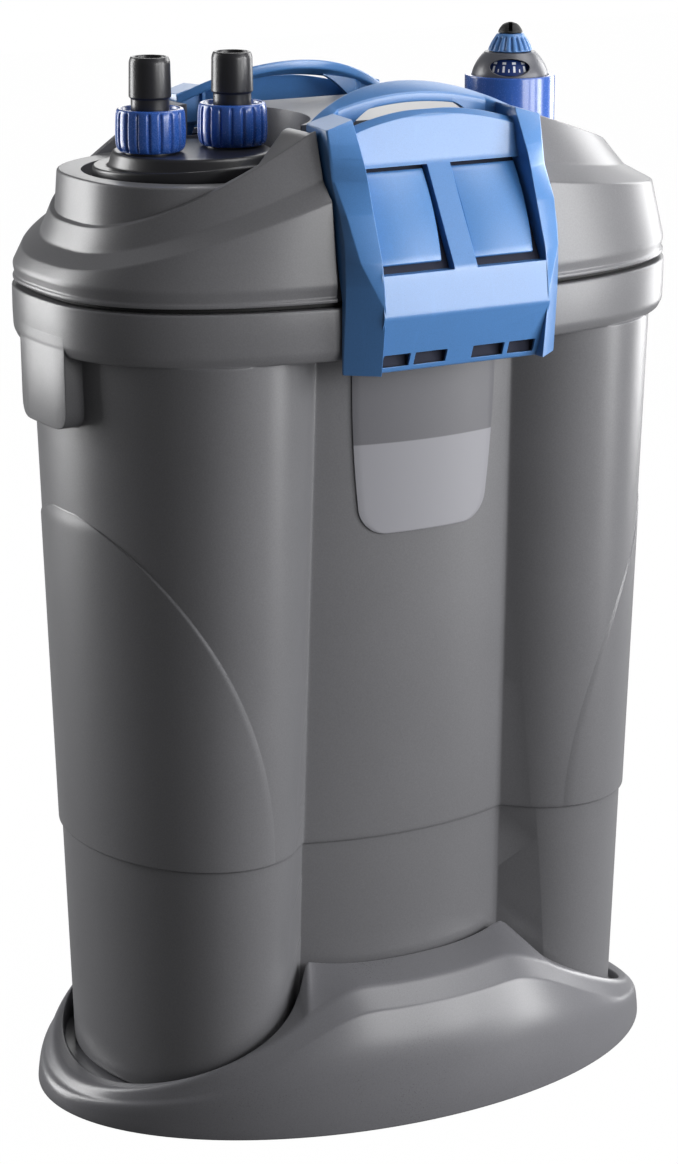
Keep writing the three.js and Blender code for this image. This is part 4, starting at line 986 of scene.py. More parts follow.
def panel_bar(name, start, end, near, far, left, right, bow=0.0):
    """A bar in the windows' plane, between two places down it and two depths behind it.

    Its sides may follow the share of the way down, and its face may bow.
    """
    top = np.array(WINDOW_TOP)
    along = (WINDOW_LOW - top) / window_length()
    inward = np.array([-along[1], along[0]])
    rings = []
    for s in np.linspace(start, end, 13):
        share = (s - start) / (end - start)
        x0, x1 = left(share), right(share)
        face = near + bow * (2 * share - 1) ** 2
        across = [(x0, face), (x1, face), (x1, far), (x0, far)]
        rings.append([[x, *(top + along * s + inward * depth)] for x, depth in across])
    return latch_form(name, rings)


def window_length():
    """Length of the windows down their plane."""
    return math.dist(WINDOW_TOP, WINDOW_LOW)


def make_latch_insert():
    """The panels behind the windows: eased pads on a slab, in the windows' plane."""
    length, half = window_length(), size("rail_inner")
    edge = half - 0.3
    slab = panel_bar("front_latch_panels", -1.5, length + 1.5, 4.3, 8.3, lambda s: -edge, lambda s: edge)
    pads = []
    for x0, x1 in ((-half, -MULLION), (MULLION, half)):
        left, right = (lambda s: x0 + 0.8), (lambda s: x1 - 1.4 - 2.6 * s**2)
        pads.append(ease_edges(panel_bar("pad", 1.7, length - 4.6, 1.2, 5.3, left, right, bow=1.0), 0.5))
    return carve(slab, pads, "UNION")


# ---- Connector, nozzles and nuts ----

HUB_TOP = 14.0
STUB_TOP = HUB_TOP + 10.5
SEAT_GAP = 0.15
GASKET = 1.0
FLANGE = 2.4
NOZZLE_Z = DISC_Z + STUB_TOP + GASKET + 2 * SEAT_GAP


def make_connector():
    """The connector block: a ramped disc, a hub and two stubs, and a stem below.

    The disc's top rises with the square of half of one minus the sine of the turn.
    """
    t = np.linspace(0, 2 * math.pi, 160, endpoint=False)
    lift = 4.0 * (0.5 - 0.5 * np.sin(t - 0.35)) ** 2

    def ring(radius, base, share):
        """A ring at a height over the disc's foot, with a share of the ramp's lift."""
        return np.stack(
            [CONNECTOR_X + radius * np.cos(t), radius * np.sin(t), DISC_Z + base + share * lift], -1
        )

    stem_low = -28
    chain = [
        ring(38, stem_low, 0),
        ring(38, 0, 0),
        ring(44, 0, 0),
        ring(44, 7.5, 1),
        ring(38.5, 7.1, 0.6),
        ring(37, 7.5, 0.5),
        ring(35, HUB_TOP, 0),
        ring(30, HUB_TOP, 0),
    ]
    connector = loft("connector", rounded(chain, [0, 0.4, 1.0, 1.3, 0.8, 1.2, 1.6, 0], 4))
    stub = rounded([[10, 12], [12, 12], [12, STUB_TOP], [8, STUB_TOP]], [0, 0, 0.6, 0], 3)
    carve(connector, [turned("stub", stub, x, z=DISC_Z) for x in port_places()], "UNION")
    bore = [[7.4, stem_low - 1], [7.4, STUB_TOP + 1.5]]
    return carve(connector, [turned("bore", bore, x, z=DISC_Z, steps=64) for x in port_places()])


def port_places():
    """X of the two ports."""
    return (CONNECTOR_X - PORT_PITCH / 2, CONNECTOR_X + PORT_PITCH / 2)


def make_nozzle(name, x):
    """A hose nozzle: a flange, a neck and a smooth hose end round a bore."""
    bore, tip = 6.6, 29.6
    corners = [
        [bore, 0], [11.6, 0], [11.6, FLANGE], [8.5, FLANGE], [8.4, 11.6], [9.3, 12.3], [9.0, tip - 2],
        [8.2, tip], [6.9, tip], [bore, 26],
    ]
    radii = [0.3, 0.4, 0.4, 0.5, 0.3, 0.4, 0.9, 0.5, 0.4, 0]
    return turned(name, rounded(corners, radii, 4, loop=True), x, z=NOZZLE_Z, loop=True)


def ribbed(name, chain, ribs, depth, x, z, steps_per_rib=12, sharpness=5):
    """A turned body with rounded ribs.

    A point of radius r and depth d is at r minus d times the cosine of half the rib's
    turn, taken without its sign and to a power, which makes narrow grooves.
    """
    t = np.linspace(0, 2 * math.pi, ribs * steps_per_rib, endpoint=False)
    groove = np.abs(np.cos(ribs * t / 2)) ** sharpness
    radius = chain[:, :1] - depth[:, None] * groove
    return loft(name, turned_rings(radius, chain[:, 1:], t, x, 0, z), loop=True, sharp=45)


def make_nut(name, x):
    """A union nut: ribs round its side, eased ends and a bore with a lip over the nozzle's flange."""
    r = size("nut_radius")
    bore, lip, lip_low = 12.3, 9.4, 13.8
    corners = [
        [bore, 0], [r - 2.0, 0], [r - 0.6, 1.6], [r, 6], [r - 0.4, 16.4], [r - 1.1, 18.3],
        [r - 2.3, 18.6], [12.8, 18.2], [12.5, 16.9], [lip, 16.9], [lip, lip_low], [bore, lip_low],
    ]
    radii = [0, 0.6, 1.2, 5, 2, 0.5, 0.4, 0.3, 0.3, 0.4, 0, 0]
    chain = np.array(rounded(corners, radii, 4, loop=True))
    side = smooth_step((chain[:, 0] - (r - 2.2)) / 1.2)
    rim = smooth_step(chain[:, 1] / 1.2) * smooth_step((17.7 - chain[:, 1]) / 1.0)
    ribs = bpy.context.scene.filter_sizes.nut_ribs
    z = NOZZLE_Z + FLANGE + 0.3 - lip_low
    return ribbed(name, chain, ribs, 0.9 * side * rim, x, z, steps_per_rib=20, sharpness=14)


# ---- Heater: heights are above the sleeve's top ----

DOME_RADIUS = 17.6
DOME_TOP = 10.3
HEAD_LOW = -22.7
HEAD_FLOOR = HEAD_LOW + 11
WINDOW_TURN = math.radians(-124)


def dome_radius(height):
    """Radius of the dome over the heater."""
    return DOME_RADIUS * np.sqrt(1 - (height / 15.2) ** 1.465)


def make_sleeve():
    """The sleeve round the heater, with a flange under the lid's roof and a ledge inside."""
    flange = LID_ROOF - 0.3 - SLEEVE_Z
    ledge = HEAD_LOW - 0.3
    corners = [
        [16.2, flange - 4], [24, flange - 4], [24, flange], [20.8, flange], [20.8, 0], [17.9, 0],
        [17.9, ledge], [16.2, ledge],
    ]
    profile = rounded(corners, [0, 0.5, 0.5, 0.5, 0.7, 0.6, 0.3, 0], 4, loop=True)
    return turned("sleeve", profile, HEATER_X, z=SLEEVE_Z, loop=True)


def make_head():
    """The dome over the heater, with an oval window and a dished rim round the knob."""
    floor_low, skirt, hole = HEAD_FLOOR - 2, 15.3, 3.8
    up = np.linspace(0, DOME_TOP, 18)
    outer = [[r, h] for r, h in zip(dome_radius(up), up)]
    under = up[13::-1]
    inner = [[r - 2, h] for r, h in zip(dome_radius(under), under)]
    profile = [[skirt, floor_low], [skirt, HEAD_LOW], [DOME_RADIUS, HEAD_LOW], *outer]
    profile += [[6.9, DOME_TOP], [6.9, DOME_TOP - 2], *inner]
    profile += [[15.6, HEAD_FLOOR], [hole, HEAD_FLOOR], [hole, floor_low]]
    head = turned("heater_dome", profile, HEATER_X, z=SLEEVE_Z, loop=True, sharp=38)
    t = np.linspace(0, 2 * math.pi, 48, endpoint=False)
    out = np.array([math.cos(WINDOW_TURN), math.sin(WINDOW_TURN)])
    across = np.array([-out[1], out[0]])
    half_width, half_height, middle = 9.5, 3.9, SLEEVE_Z + 4.3
    rings = []
    for depth in (8.0, 30.0):
        grow = 1 + (depth - 16) * 0.012
        reach = half_width * grow * np.cos(t)
        x, y = HEATER_X + out[0] * depth + across[0] * reach, out[1] * depth + across[1] * reach
        rings.append(np.stack([x, y, middle + half_height * grow * np.sin(t)], -1))
    return carve(head, [face_outwards(loft("window", rings))], sharp=38)


def make_drum():
    """The scale drum inside the dome, which it follows 2.5 mm under the dome's outside."""
    low, high, hole = 0.6, 7.4, 3.5
    wall = [[dome_radius(h) - 2.5, h] for h in (low, *np.linspace(1.2, high, 10))]
    profile = [[hole, low], *wall, [hole, high]]
    return turned("scale_drum", profile, HEATER_X, z=SLEEVE_Z, loop=True, sharp=50)


def make_knob():
    """The temperature knob: a ribbed cone on a neck, in a shallow dish."""
    r = size("knob_radius")
    corners = [
        [3.5, 7.8], [6.6, 7.8], [6.6, 10.6], [r - 0.5, 10.6], [r, 11.2], [r - 1.3, 14.2],
        [7.0, 17.2], [6.0, 18.6], [3.5, 18.6],
    ]
    chain = np.array(rounded(corners, [0, 0, 0, 0.3, 0.6, 1.5, 1.2, 0.6, 0], 4, loop=True))
    side = smooth_step((chain[:, 1] - 10.7) / 0.8) * smooth_step((17.6 - chain[:, 1]) / 1.2)
    side *= chain[:, 0] > 6.2
    ribs = bpy.context.scene.filter_sizes.knob_ribs
    return ribbed("temperature_dial", chain, ribs, 1.0 * side, HEATER_X, SLEEVE_Z)


def make_gland():
    """The cord gland at the knob's tip, with its slit."""
    foot, tip = HEAD_FLOOR + 0.3, 18.9
    corners = [
        [1.5, foot], [5.2, foot], [5.2, foot + 3], [3.2, foot + 4], [3.2, tip], [5.6, tip],
        [5.5, tip + 0.9], [4.6, tip + 2.4], [3.3, tip + 3.9], [1.0, tip + 4.6],
    ]
    profile = rounded(corners, [0, 0.3, 0.3, 0.3, 0, 0.3, 0.8, 1.2, 1.2, 0], 4)
    gland = turned("cord_tip", profile, HEATER_X, z=SLEEVE_Z, steps=64)
    slit = block("slit", (-0.9, -6.6, tip + 0.9), (0.9, 0.4, tip + 9))
    place = Matrix.Translation((HEATER_X * MM, 0, SLEEVE_Z * MM))
    slit.data.transform(place @ Matrix.Rotation(WINDOW_TURN + math.pi / 2, 4, "Z"))
    return carve(gland, [slit])


# ---- Media: soft pieces inside, unseen while the filter is whole ----


def soft_copy(node, name, ease):
    """A fuller form of a soft node: its merged mesh with eased edges, swollen a little.

    Each point is moved along its normal by a sum of three sines of its place, in metres.
    """
    waves, swell = 190, 0.00006
    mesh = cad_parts[node].data.copy()
    mesh.materials.clear()
    loose = bmesh.new()
    loose.from_mesh(mesh)
    bmesh.ops.remove_doubles(loose, verts=loose.verts, dist=1e-5)
    bmesh.ops.dissolve_limit(loose, angle_limit=math.radians(1), verts=loose.verts, edges=loose.edges)
    loose.to_mesh(mesh)
    loose.free()
    piece = add_object(name, mesh)
    ease_edges(piece, ease, 40)
    count = len(piece.data.vertices)
    points, normals = np.empty(count * 3), np.empty(count * 3)
    piece.data.vertices.foreach_get("co", points)
    piece.data.vertices.foreach_get("normal", normals)
    points, normals = points.reshape(-1, 3), normals.reshape(-1, 3)
    shift = np.sin(points * waves).sum(1, keepdims=True) * swell
    piece.data.vertices.foreach_set("co", (points + normals * shift).ravel())
    return piece


# ---- Finishes ----


MIX_COLOURS = (6, 7)
# Near-black blue: painted shade in the latches' pockets and on the slab behind their pads.
POCKET_SHADE = (0.004, 0.007, 0.025)


class Socket:
    """A shader value that takes part in arithmetic."""

    def __init__(self, finish, link):
        self.finish = finish
        self.link = link

    def _with(self, operation, first, second):
        """The result of a Math node on two values."""
        return self.finish.calculate(operation, first, second)

    def __add__(self, other):
        return self._with("ADD", self, other)

    def __sub__(self, other):
        return self._with("SUBTRACT", self, other)

    def __mul__(self, other):
        return self._with("MULTIPLY", self, other)

    def __lt__(self, other):
        return self._with("LESS_THAN", self, other)

    def __gt__(self, other):
        return self._with("GREATER_THAN", self, other)

    __radd__ = __add__
    __rmul__ = __mul__

    def __rsub__(self, other):
        return self._with("SUBTRACT", other, self)

    def __abs__(self):
        return self._with("ABSOLUTE", self, 0)

    def smooth(self, low, high):
        """0 below low, 1 above high, and smooth between."""
        settings = {"interpolation_type": "SMOOTHSTEP"}
        return self.finish.node(
            "ShaderNodeMapRange", settings, {"Value": self, "From Min": low, "From Max": high}
        )["Result"]


class Finish:
    """A material and the ways that nodes are added to it."""

    def __init__(self, name):
        self.material = bpy.data.materials.new(name)
        self.material.use_nodes = True
        self.tree = self.material.node_tree
        self.tree.nodes.clear()
        self.place = self.node("ShaderNodeTexCoord")["Object"]

    def node(self, kind, settings=None, values=None):
        """Adds a node of a type; settings come first, then its sockets' values or links."""
        made = self.tree.nodes.new(kind)
        for name, value in (settings or {}).items():
            setattr(made, name, value)
        for name, value in (values or {}).items():
            if isinstance(value, Socket):
                self.tree.links.new(value.link, made.inputs[name])
            elif isinstance(value, tuple) and len(value) == 3 and made.inputs[name].type == "RGBA":
                made.inputs[name].default_value = (*value, 1)
            else:
                made.inputs[name].default_value = value
        return {out.name: Socket(self, out) for out in made.outputs if out.enabled}

    def calculate(self, operation, first, second=0.0):
        """A Math node's result."""
        return self.node("ShaderNodeMath", {"operation": operation}, {0: first, 1: second})["Value"]

    def noise(self, scale, detail=2.0, rough=0.5, stretch=(1, 1, 1)):
        """Noise over the piece; scale is in cells to the metre."""
        place = self.place
        if stretch != (1, 1, 1):
            place = self.node("ShaderNodeMapping", None, {"Vector": place, "Scale": stretch})["Vector"]
        values = {"Vector": place, "Scale": scale, "Detail": detail, "Roughness": rough}
        return self.node("ShaderNodeTexNoise", None, values)["Fac"]

    def blend(self, first, second, share):
        """One colour over another; a Mix node's colour sockets are known by their numbers."""
        values = {0: share, MIX_COLOURS[0]: first, MIX_COLOURS[1]: second}
        return self.node("ShaderNodeMix", {"data_type": "RGBA"}, values)["Result"]

    def axis(self, name):
        """One of the place's three parts, in metres."""
        return self.node("ShaderNodeSeparateXYZ", None, {0: self.place})[name]

    def eased_normal(self, radius):
        """The normal with edges eased over a radius in millimetres."""
        return self.node("ShaderNodeBevel", {"samples": 6}, {"Radius": radius * MM})["Normal"]

    def edge(self, normal, gain):
        """1 along edges, from how far the eased normal leans off the face's own."""
        own = self.node("ShaderNodeNewGeometry")["Normal"]
        dot = self.node("ShaderNodeVectorMath", {"operation": "DOT_PRODUCT"}, {0: normal, 1: own})["Value"]
        return ((1 - dot) * gain).smooth(0.0, 1.0)

    def bump(self, height, strength, reach, normal=None):
        """A bump whose reach is in millimetres."""
        values = {"Height": height, "Strength": strength, "Distance": reach * MM}
        if normal is not None:
            values["Normal"] = normal
        return self.node("ShaderNodeBump", None, values)["Normal"]

    def surface(self, **values):
        """The principled surface, wired to the material's output."""
        named = {name.replace("_", " ").title().replace("Ior", "IOR"): v for name, v in values.items()}
        shader = self.node("ShaderNodeBsdfPrincipled", None, named)["BSDF"]
        self.node("ShaderNodeOutputMaterial", None, {"Surface": shader})
        return self.material


def shade(colour, factor):
    """A colour made lighter or darker."""
    return tuple(min(1.0, max(0.0, c * factor)) for c in colour)


def grained(f, colour, mottle, fine, broad):
    """A colour with a faint cloudiness and a fine grain."""
    tone = f.blend(shade(colour, 1 - mottle), shade(colour, 1 + mottle), broad.smooth(0.3, 0.7))
    grain = f.blend(shade(colour, 0.82), shade(colour, 1.2), fine.smooth(0.25, 0.75))
    return f.blend(tone, grain, 0.45)


def streaked(f, tone, colour, share):
    """A tone under faint upright streaks of a lighter colour."""
    lines = f.noise(260, 2, 0.5, (1, 1, 0.03))
    return f.blend(tone, shade(colour, 1.35), lines.smooth(0.55, 0.8) * share)


def moulded(name, colour, roughness, grain=2200, grain_depth=0.05, mottle=0.06, edge_light=0.35,
            edge_radius=0.7, coat=0.0):
    """Moulded plastic: a fine grain, a faint cloudiness, and a painted highlight that makes the edges lighter
    and a little less rough.
    """
    f = Finish(name)
    fine, broad = f.noise(grain, 3, 0.6), f.noise(14, 3, 0.5)
    normal = f.eased_normal(edge_radius)
    # Painted highlight: the colour is made lighter along the edges, by edge_light.
    edge_highlight = f.edge(normal, 5.0)
    tone = grained(f, colour, mottle, fine, broad)
    return f.surface(
        base_color=f.blend(tone, shade(colour, 1.0 + 1.6 * edge_light), edge_highlight * edge_light),
        roughness=roughness + (fine - 0.5) * 0.12 + (broad - 0.5) * 0.08 - edge_highlight * 0.05,
        coat_weight=coat,
        coat_roughness=0.12,
        normal=f.bump(fine, 0.5, grain_depth, normal),
    )


def label_finish():
    """The label plate: a darker upper field over a lighter one, with pale specks."""
    f = Finish("label_plate")
    lower = paint("label_lower")
    fine = f.noise(2400, 3, 0.6)
    share = (f.axis("Z") - FIELD_BORDER_Z * MM).smooth(-0.0003, 0.0003)
    tone = f.blend(lower, paint("label_upper"), share)
    tone = f.blend(tone, shade(lower, 1.25), fine.smooth(0.5, 0.9) * 0.12)
    rough = 0.42 + (fine - 0.5) * 0.1
    return f.surface(base_color=tone, roughness=rough, normal=f.bump(fine, 0.3, 0.02))


def drum_finish():
    """The scale drum: two rows of white ticks round a dark blue band, with short bars over them."""
    f = Finish("scale_drum")
    x, y, z = f.axis("X"), f.axis("Y"), f.axis("Z")
    turn = f.calculate("ARCTAN2", y, x - HEATER_X * MM)

    def marks(count, low, high, bounds, phase=0.0):
        """Marks round the drum, between two heights over the sleeve."""
        wave = f.calculate("SINE", turn * count + phase)
        foot, top = ((SLEEVE_Z + value) * MM for value in (low, high))
        band = z.smooth(foot, foot + 0.0002) * (1 - z.smooth(top - 0.0002, top))
        return wave.smooth(*bounds) * band

    narrow, wide = (0.72, 0.82), (0.25, 0.4)
    long_ticks = marks(18, 2.0, 4.9, narrow)
    short_ticks = marks(36, 2.0, 3.6, narrow, -math.pi / 2)
    bars = marks(18, 5.4, 6.6, wide)
    shown = (long_ticks + short_ticks + bars).smooth(0.0, 1.0)
    tone = f.blend(paint("drum"), (0.85, 0.87, 0.9), shown)
    fine = f.noise(1800)
    return f.surface(base_color=tone, roughness=0.35 + (fine - 0.5) * 0.1)


def latch_depth(f, upper, lower):
    """Distance in front of a latch's face through two [y, height] points, in metres.

    It is worked out from the place, and is alike in front and at the back.
    """
    tilt = math.atan2(upper[0] - lower[0], upper[1] - lower[1])
    y, z = abs(f.axis("Y")), f.axis("Z")
    return (y + upper[0] * MM) * math.cos(tilt) + (z - (RIM_TOP + upper[1]) * MM) * math.sin(tilt)


def latch_finish():
    """The latch frames: satin blue with a painted highlight along the edges, and painted shade in the pockets
    behind the slots' mouths.
    """
    f = Finish("latch_blue")
    blue = paint("latch")
    x, y, z = abs(f.axis("X")), abs(f.axis("Y")), f.axis("Z")
    out = latch_depth(f, LOWER_FOLD, LOWER_TIP)
    low, high = (RIM_TOP + SLOT_HEIGHTS[0] - 0.1) * MM, (RIM_TOP + SLOT_HEIGHTS[1] + 0.1) * MM
    end, front = (SLOTS[-1][1] + 0.7) * MM, 90 * MM
    # Painted shade: inside is 1 in the pockets behind the slots' mouths, which are painted near black and
    # made rough so that they show no sheen.
    inside = (x < end) * (z > low) * (z < high) * (1 - out.smooth(-0.0014, -0.0006)) * (y > front)
    fine, broad = f.noise(2600, 3, 0.6), f.noise(14, 3, 0.5)
    normal = f.eased_normal(0.4)
    tone = streaked(f, grained(f, blue, 0.06, fine, broad), blue, 0.15)
    # Painted highlight: the colour is made lighter along the edges.
    tone = f.blend(tone, shade(blue, 1.8), f.edge(normal, 5.0) * 0.5)
    return f.surface(
        base_color=f.blend(tone, POCKET_SHADE, inside),
        roughness=0.3 + (fine - 0.5) * 0.12 + inside * 0.6,
        specular_ior_level=0.8,
        normal=f.bump(fine, 0.5, 0.03, normal),
    )


def panel_finish():
    """The latch panels: satin blue pads, and the slab behind them painted near black, painted shade."""
    f = Finish("panel_blue")
    blue = paint("insert")
    fine = f.noise(2600, 3, 0.6)
    tone = f.blend(shade(blue, 0.92), shade(blue, 1.1), fine.smooth(0.3, 0.7))
    tone = streaked(f, tone, blue, 0.2)
    # Painted shade: shown is 0 on the slab behind the pads' faces, which is painted near black and made
    # rough.
    shown = latch_depth(f, WINDOW_TOP, WINDOW_LOW).smooth(-0.0036, -0.003)
    return f.surface(
        base_color=f.blend(POCKET_SHADE, tone, shown),
        roughness=0.31 + (fine - 0.5) * 0.1 + (1 - shown) * 0.6,
        specular_ior_level=0.8,
        normal=f.bump(fine, 0.4, 0.03, f.eased_normal(0.4)),
    )


def foam_finish(name, colour):
    """Open-cell foam: a pale web, with its cells painted dark as painted shade in the pores."""
    f = Finish(name)
    cells = f.node("ShaderNodeTexVoronoi", None, {"Vector": f.place, "Scale": 420.0})["Distance"]
    # Painted shade: the cells are darker than the web.
    tone = f.blend(shade(colour, 0.35), shade(colour, 1.25), cells.smooth(0.1, 0.6))
    return f.surface(base_color=tone, roughness=0.95 - cells * 0.05, normal=f.bump(cells, 0.9, 0.8))


def glass_finish():
    """Clear glass with faint drawn streaks."""
    f = Finish("heater_glass")
    streaks = f.noise(60, 2, 0.5, (1, 1, 0.05))
    tone = f.blend((0.80, 0.86, 0.88), (0.93, 0.96, 0.97), streaks)
    return f.surface(base_color=tone, roughness=0.04 + streaks * 0.05, transmission_weight=0.9)


def metal_finish():
    """Bright turned steel."""
    f = Finish("pin_steel")
    rings = f.noise(900, 2, 0.5, (8, 1, 1))
    tone = f.blend((0.52, 0.53, 0.55), (0.72, 0.73, 0.75), rings)
    return f.surface(base_color=tone, metallic=1.0, roughness=0.22 + rings * 0.15)


def ceramic_finish():
    """Polished white ceramic with faint specks."""
    f = Finish("ceramic")
    specks = f.noise(1500, 2)
    tone = f.blend((0.84, 0.83, 0.80), (0.93, 0.92, 0.9), specks.smooth(0.3, 0.6))
    return f.surface(base_color=tone, roughness=0.16 + specks * 0.1)


def plastics():
    """Moulded finishes, each with the values that moulded takes, in its order."""
    return {
        "body": ("body_grey", paint("body"), 0.34, 1500, 0.05, 0.05, 0.25, 0.6),
        "foot": ("foot_grey", paint("foot"), 0.3, 1700, 0.03, 0.05, 0.35, 0.8),
        "nut": ("nut_blue", paint("nut"), 0.26, 1500, 0.01, 0.05, 0.4, 0.4, 0.5),
        "black": ("gloss_black", paint("black"), 0.34, 1500, 0.01, 0.1, 0.4, 0.4, 0.1),
        "knob": ("knob_blue", paint("knob"), 0.3, 1800, 0.02, 0.05, 0.4, 0.3),
        "head": ("head_grey", paint("head"), 0.34, 2300, 0.04, 0.05, 0.3, 0.4),
        "rubber": ("black_rubber", paint("rubber"), 0.62, 1600, 0.06, 0.1, 0.2, 0.3),
        "basket": ("basket_grey", (0.028, 0.028, 0.03), 0.5),
        "pump": ("pump_black", (0.018, 0.018, 0.02), 0.4),
    }


FOAMS = {
    "foam_coarse": ("coarse_foam", (0.62, 0.22, 0.06)),
    "foam_fine": ("fine_foam", (0.05, 0.1, 0.26)),
}
OTHER_FINISHES = {
    "plate": label_finish,
    "latch": latch_finish,
    "latch_insert": panel_finish,
    "drum": drum_finish,
    "glass": glass_finish,
    "steel": metal_finish,
    "ceramic": ceramic_finish,
}
made_finishes = {}


def finish(name):
    """A named finish, made when it is first asked for."""
    if name not in made_finishes:
        if name in OTHER_FINISHES:
            made_finishes[name] = OTHER_FINISHES[name]()
        elif name in FOAMS:
            made_finishes[name] = foam_finish(*FOAMS[name])
        else:
            made_finishes[name] = moulded(*plastics()[name])
    return made_finishes[name]


def dress(piece, body, slot, nodes=(), finish_name=None):
    """Gives a new piece its finish, named by the slot unless a finish is named, and its body, and hides the
    nodes it stands for.
    """
    piece.data.materials.clear()
    piece.data.materials.append(finish(finish_name or slot))
    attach(piece, body)
    if nodes:
        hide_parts(*nodes)
    return piece


def dress_node(node, finish_name):
    """Gives a node of the frame a finish."""
    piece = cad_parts[node]
    piece.data.materials.clear()
    piece.data.materials.append(finish(finish_name))


# ---- Operators ----


class FILTER_OT_canister(bpy.types.Operator):
    """Make the canister, its label plate and the seal on its rim"""

    bl_idname = "filter.canister"
    bl_label = "Canister"

    def execute(self, context):
        dress(make_canister(), "filter", "body", ["canister_shell"])
        dress(make_label(), "filter", "plate", ["label_plate"])
        dress(make_seal(), "filter", "rubber", ["rim_seal"])
        return {"FINISHED"}


class FILTER_OT_foot(bpy.types.Operator):
    """Make the foot tray and finish its pads"""

    bl_idname = "filter.foot"
    bl_label = "Foot"

    def execute(self, context):
        dress(make_foot(), "filter", "foot", ["foot_tray"])
        for i in range(4):
            dress_node(f"foot_pad_{i + 1}", "rubber")
        return {"FINISHED"}


class FILTER_OT_lid(bpy.types.Operator):
    """Make the terraced lid"""

    bl_idname = "filter.lid"
    bl_label = "Lid"

    def execute(self, context):
        dress(make_lid(), "filter", "body", ["lid_shell"])
        return {"FINISHED"}


class FILTER_OT_latches(bpy.types.Operator):
    """Make the two latches and finish their pins"""

    bl_idname = "filter.latches"
    bl_label = "Latches"

    def execute(self, context):
        latch, panels = make_latch_frame(), make_latch_insert()
        rear, rear_panels = half_turned(latch, "rear_latch"), half_turned(panels, "rear_latch_panels")
        for side, piece, inner in (("front", latch, panels), ("rear", rear, rear_panels)):
            dress(piece, f"{side}_latch", "latch", [f"{side}_latch_frame"])
            dress(inner, f"{side}_latch", "latch_insert", [f"{side}_latch_insert"])
            for end in "ab":
                dress_node(f"{side}_hinge_pin_{end}", "steel")
        return {"FINISHED"}


class FILTER_OT_connector(bpy.types.Operator):
    """Make the connector block, the hose nozzles and the union nuts"""

    bl_idname = "filter.connector"
    bl_label = "Connector"

    def execute(self, context):
        dress(make_connector(), "connector", "black", ["connector_block"])
        for side, x in zip(("left", "right"), port_places()):
            dress(make_nozzle(f"{side}_hose_nozzle", x), "connector", "black", [f"{side}_nozzle"])
            dress(make_nut(f"{side}_nut", x), f"{side}_nut", "nut", [f"{side}_union_nut"])
            dress_node(f"{side}_nozzle_gasket", "rubber")
        dress_node("connector_seal", "rubber")
        return {"FINISHED"}


class FILTER_OT_heater(bpy.types.Operator):
    """Make the heater's sleeve, dome, scale drum, knob and cord gland"""

    bl_idname = "filter.heater"
    bl_label = "Heater"

    def execute(self, context):
        dress(make_sleeve(), "filter", "nut", ["heater_sleeve"])
        dress(make_head(), "heater", "head", ["heater_head"])
        dress(make_drum(), "temperature_dial", "nut", ["temperature_scale"], "drum")
        dress(make_knob(), "temperature_dial", "knob", ["temperature_knob"])
        dress(make_gland(), "heater", "rubber", ["cord_gland"])
        dress_node("heater_glass", "glass")
        return {"FINISHED"}


class FILTER_OT_inside(bpy.types.Operator):
    """Make the filter media and finish the baskets, the prefilter and the pump"""

    bl_idname = "filter.inside"
    bl_label = "Inside"

    def execute(self, context):
        for i in (1, 2, 3):
            foam = soft_copy(f"prefilter_foam_{i}", f"foam_ring_{i}", 2.0)
            dress(foam, "filter", "foam_coarse", [f"prefilter_foam_{i}"])
            media = soft_copy(f"media_block_{i}", f"foam_block_{i}", 2.0)
            dress(media, "filter", "foam_fine", [f"media_block_{i}"])
            dress_node(f"media_basket_{i}", "basket")
        finishes = {
            "prefilter_core": "basket",
            "pump_motor": "pump",
            "pump_cover": "pump",
            "impeller": "nut",
            "impeller_shaft": "ceramic",
            "shaft_bush_top": "rubber",
            "shaft_bush_bottom": "rubber",
        }
        for node, name in finishes.items():
            dress_node(node, name)
        return {"FINISHED"}


class FILTER_OT_stage(bpy.types.Operator):
    """Make the floor, the lights and the camera"""

    bl_idname = "filter.stage"
    bl_label = "Stage"

    def execute(self, context):
        make_camera()
        make_floor()
        make_lights()
        make_world()
        return {"FINISHED"}


# ---- Stage ----


PICTURE_HEIGHT = 1164
FOCAL_LENGTH = 3356
SHIFT = (-5.9, 61.9)


def add_aimed(name, data, aim, turn, rise, away):
    """An object that looks at a place, from a turn off the front, a height angle and a distance."""
    back = Vector((math.sin(turn) * math.cos(rise), -math.cos(turn) * math.cos(rise), math.sin(rise)))
    holder = add_object(name, data)
    holder.location = Vector((0, 0, aim)) + back * away
    holder.rotation_euler = (-back).to_track_quat("-Z", "Y").to_euler()
    return holder


def make_camera():
    """The camera; its picture's height, focal length and shift are in picture points."""
    stage = bpy.context.scene.filter_stage
    camera = bpy.data.cameras.new("camera")
    camera.sensor_fit = "AUTO"
    camera.sensor_width = 36
    camera.lens = FOCAL_LENGTH / PICTURE_HEIGHT * camera.sensor_width
    camera.shift_x, camera.shift_y = (points / PICTURE_HEIGHT for points in SHIFT)
    camera.clip_start, camera.clip_end = 0.05, 50
    bpy.context.scene.camera = add_aimed(
        "camera", camera, stage.aim_height, stage.azimuth, stage.elevation, stage.camera_distance
    )


GLOSS_SHARE = 0.2
GLOW_SHARE = 0.995
LIGHTS_AIM = 0.27


def seen_directly(tree):
    """1 for what the camera sees, also through glass, and a share of it in gloss."""
    path = tree.node("ShaderNodeLightPath")
    total = path["Is Camera Ray"] + path["Is Transmission Ray"] + path["Is Glossy Ray"] * GLOSS_SHARE
    return total.smooth(0.0, 1.0)


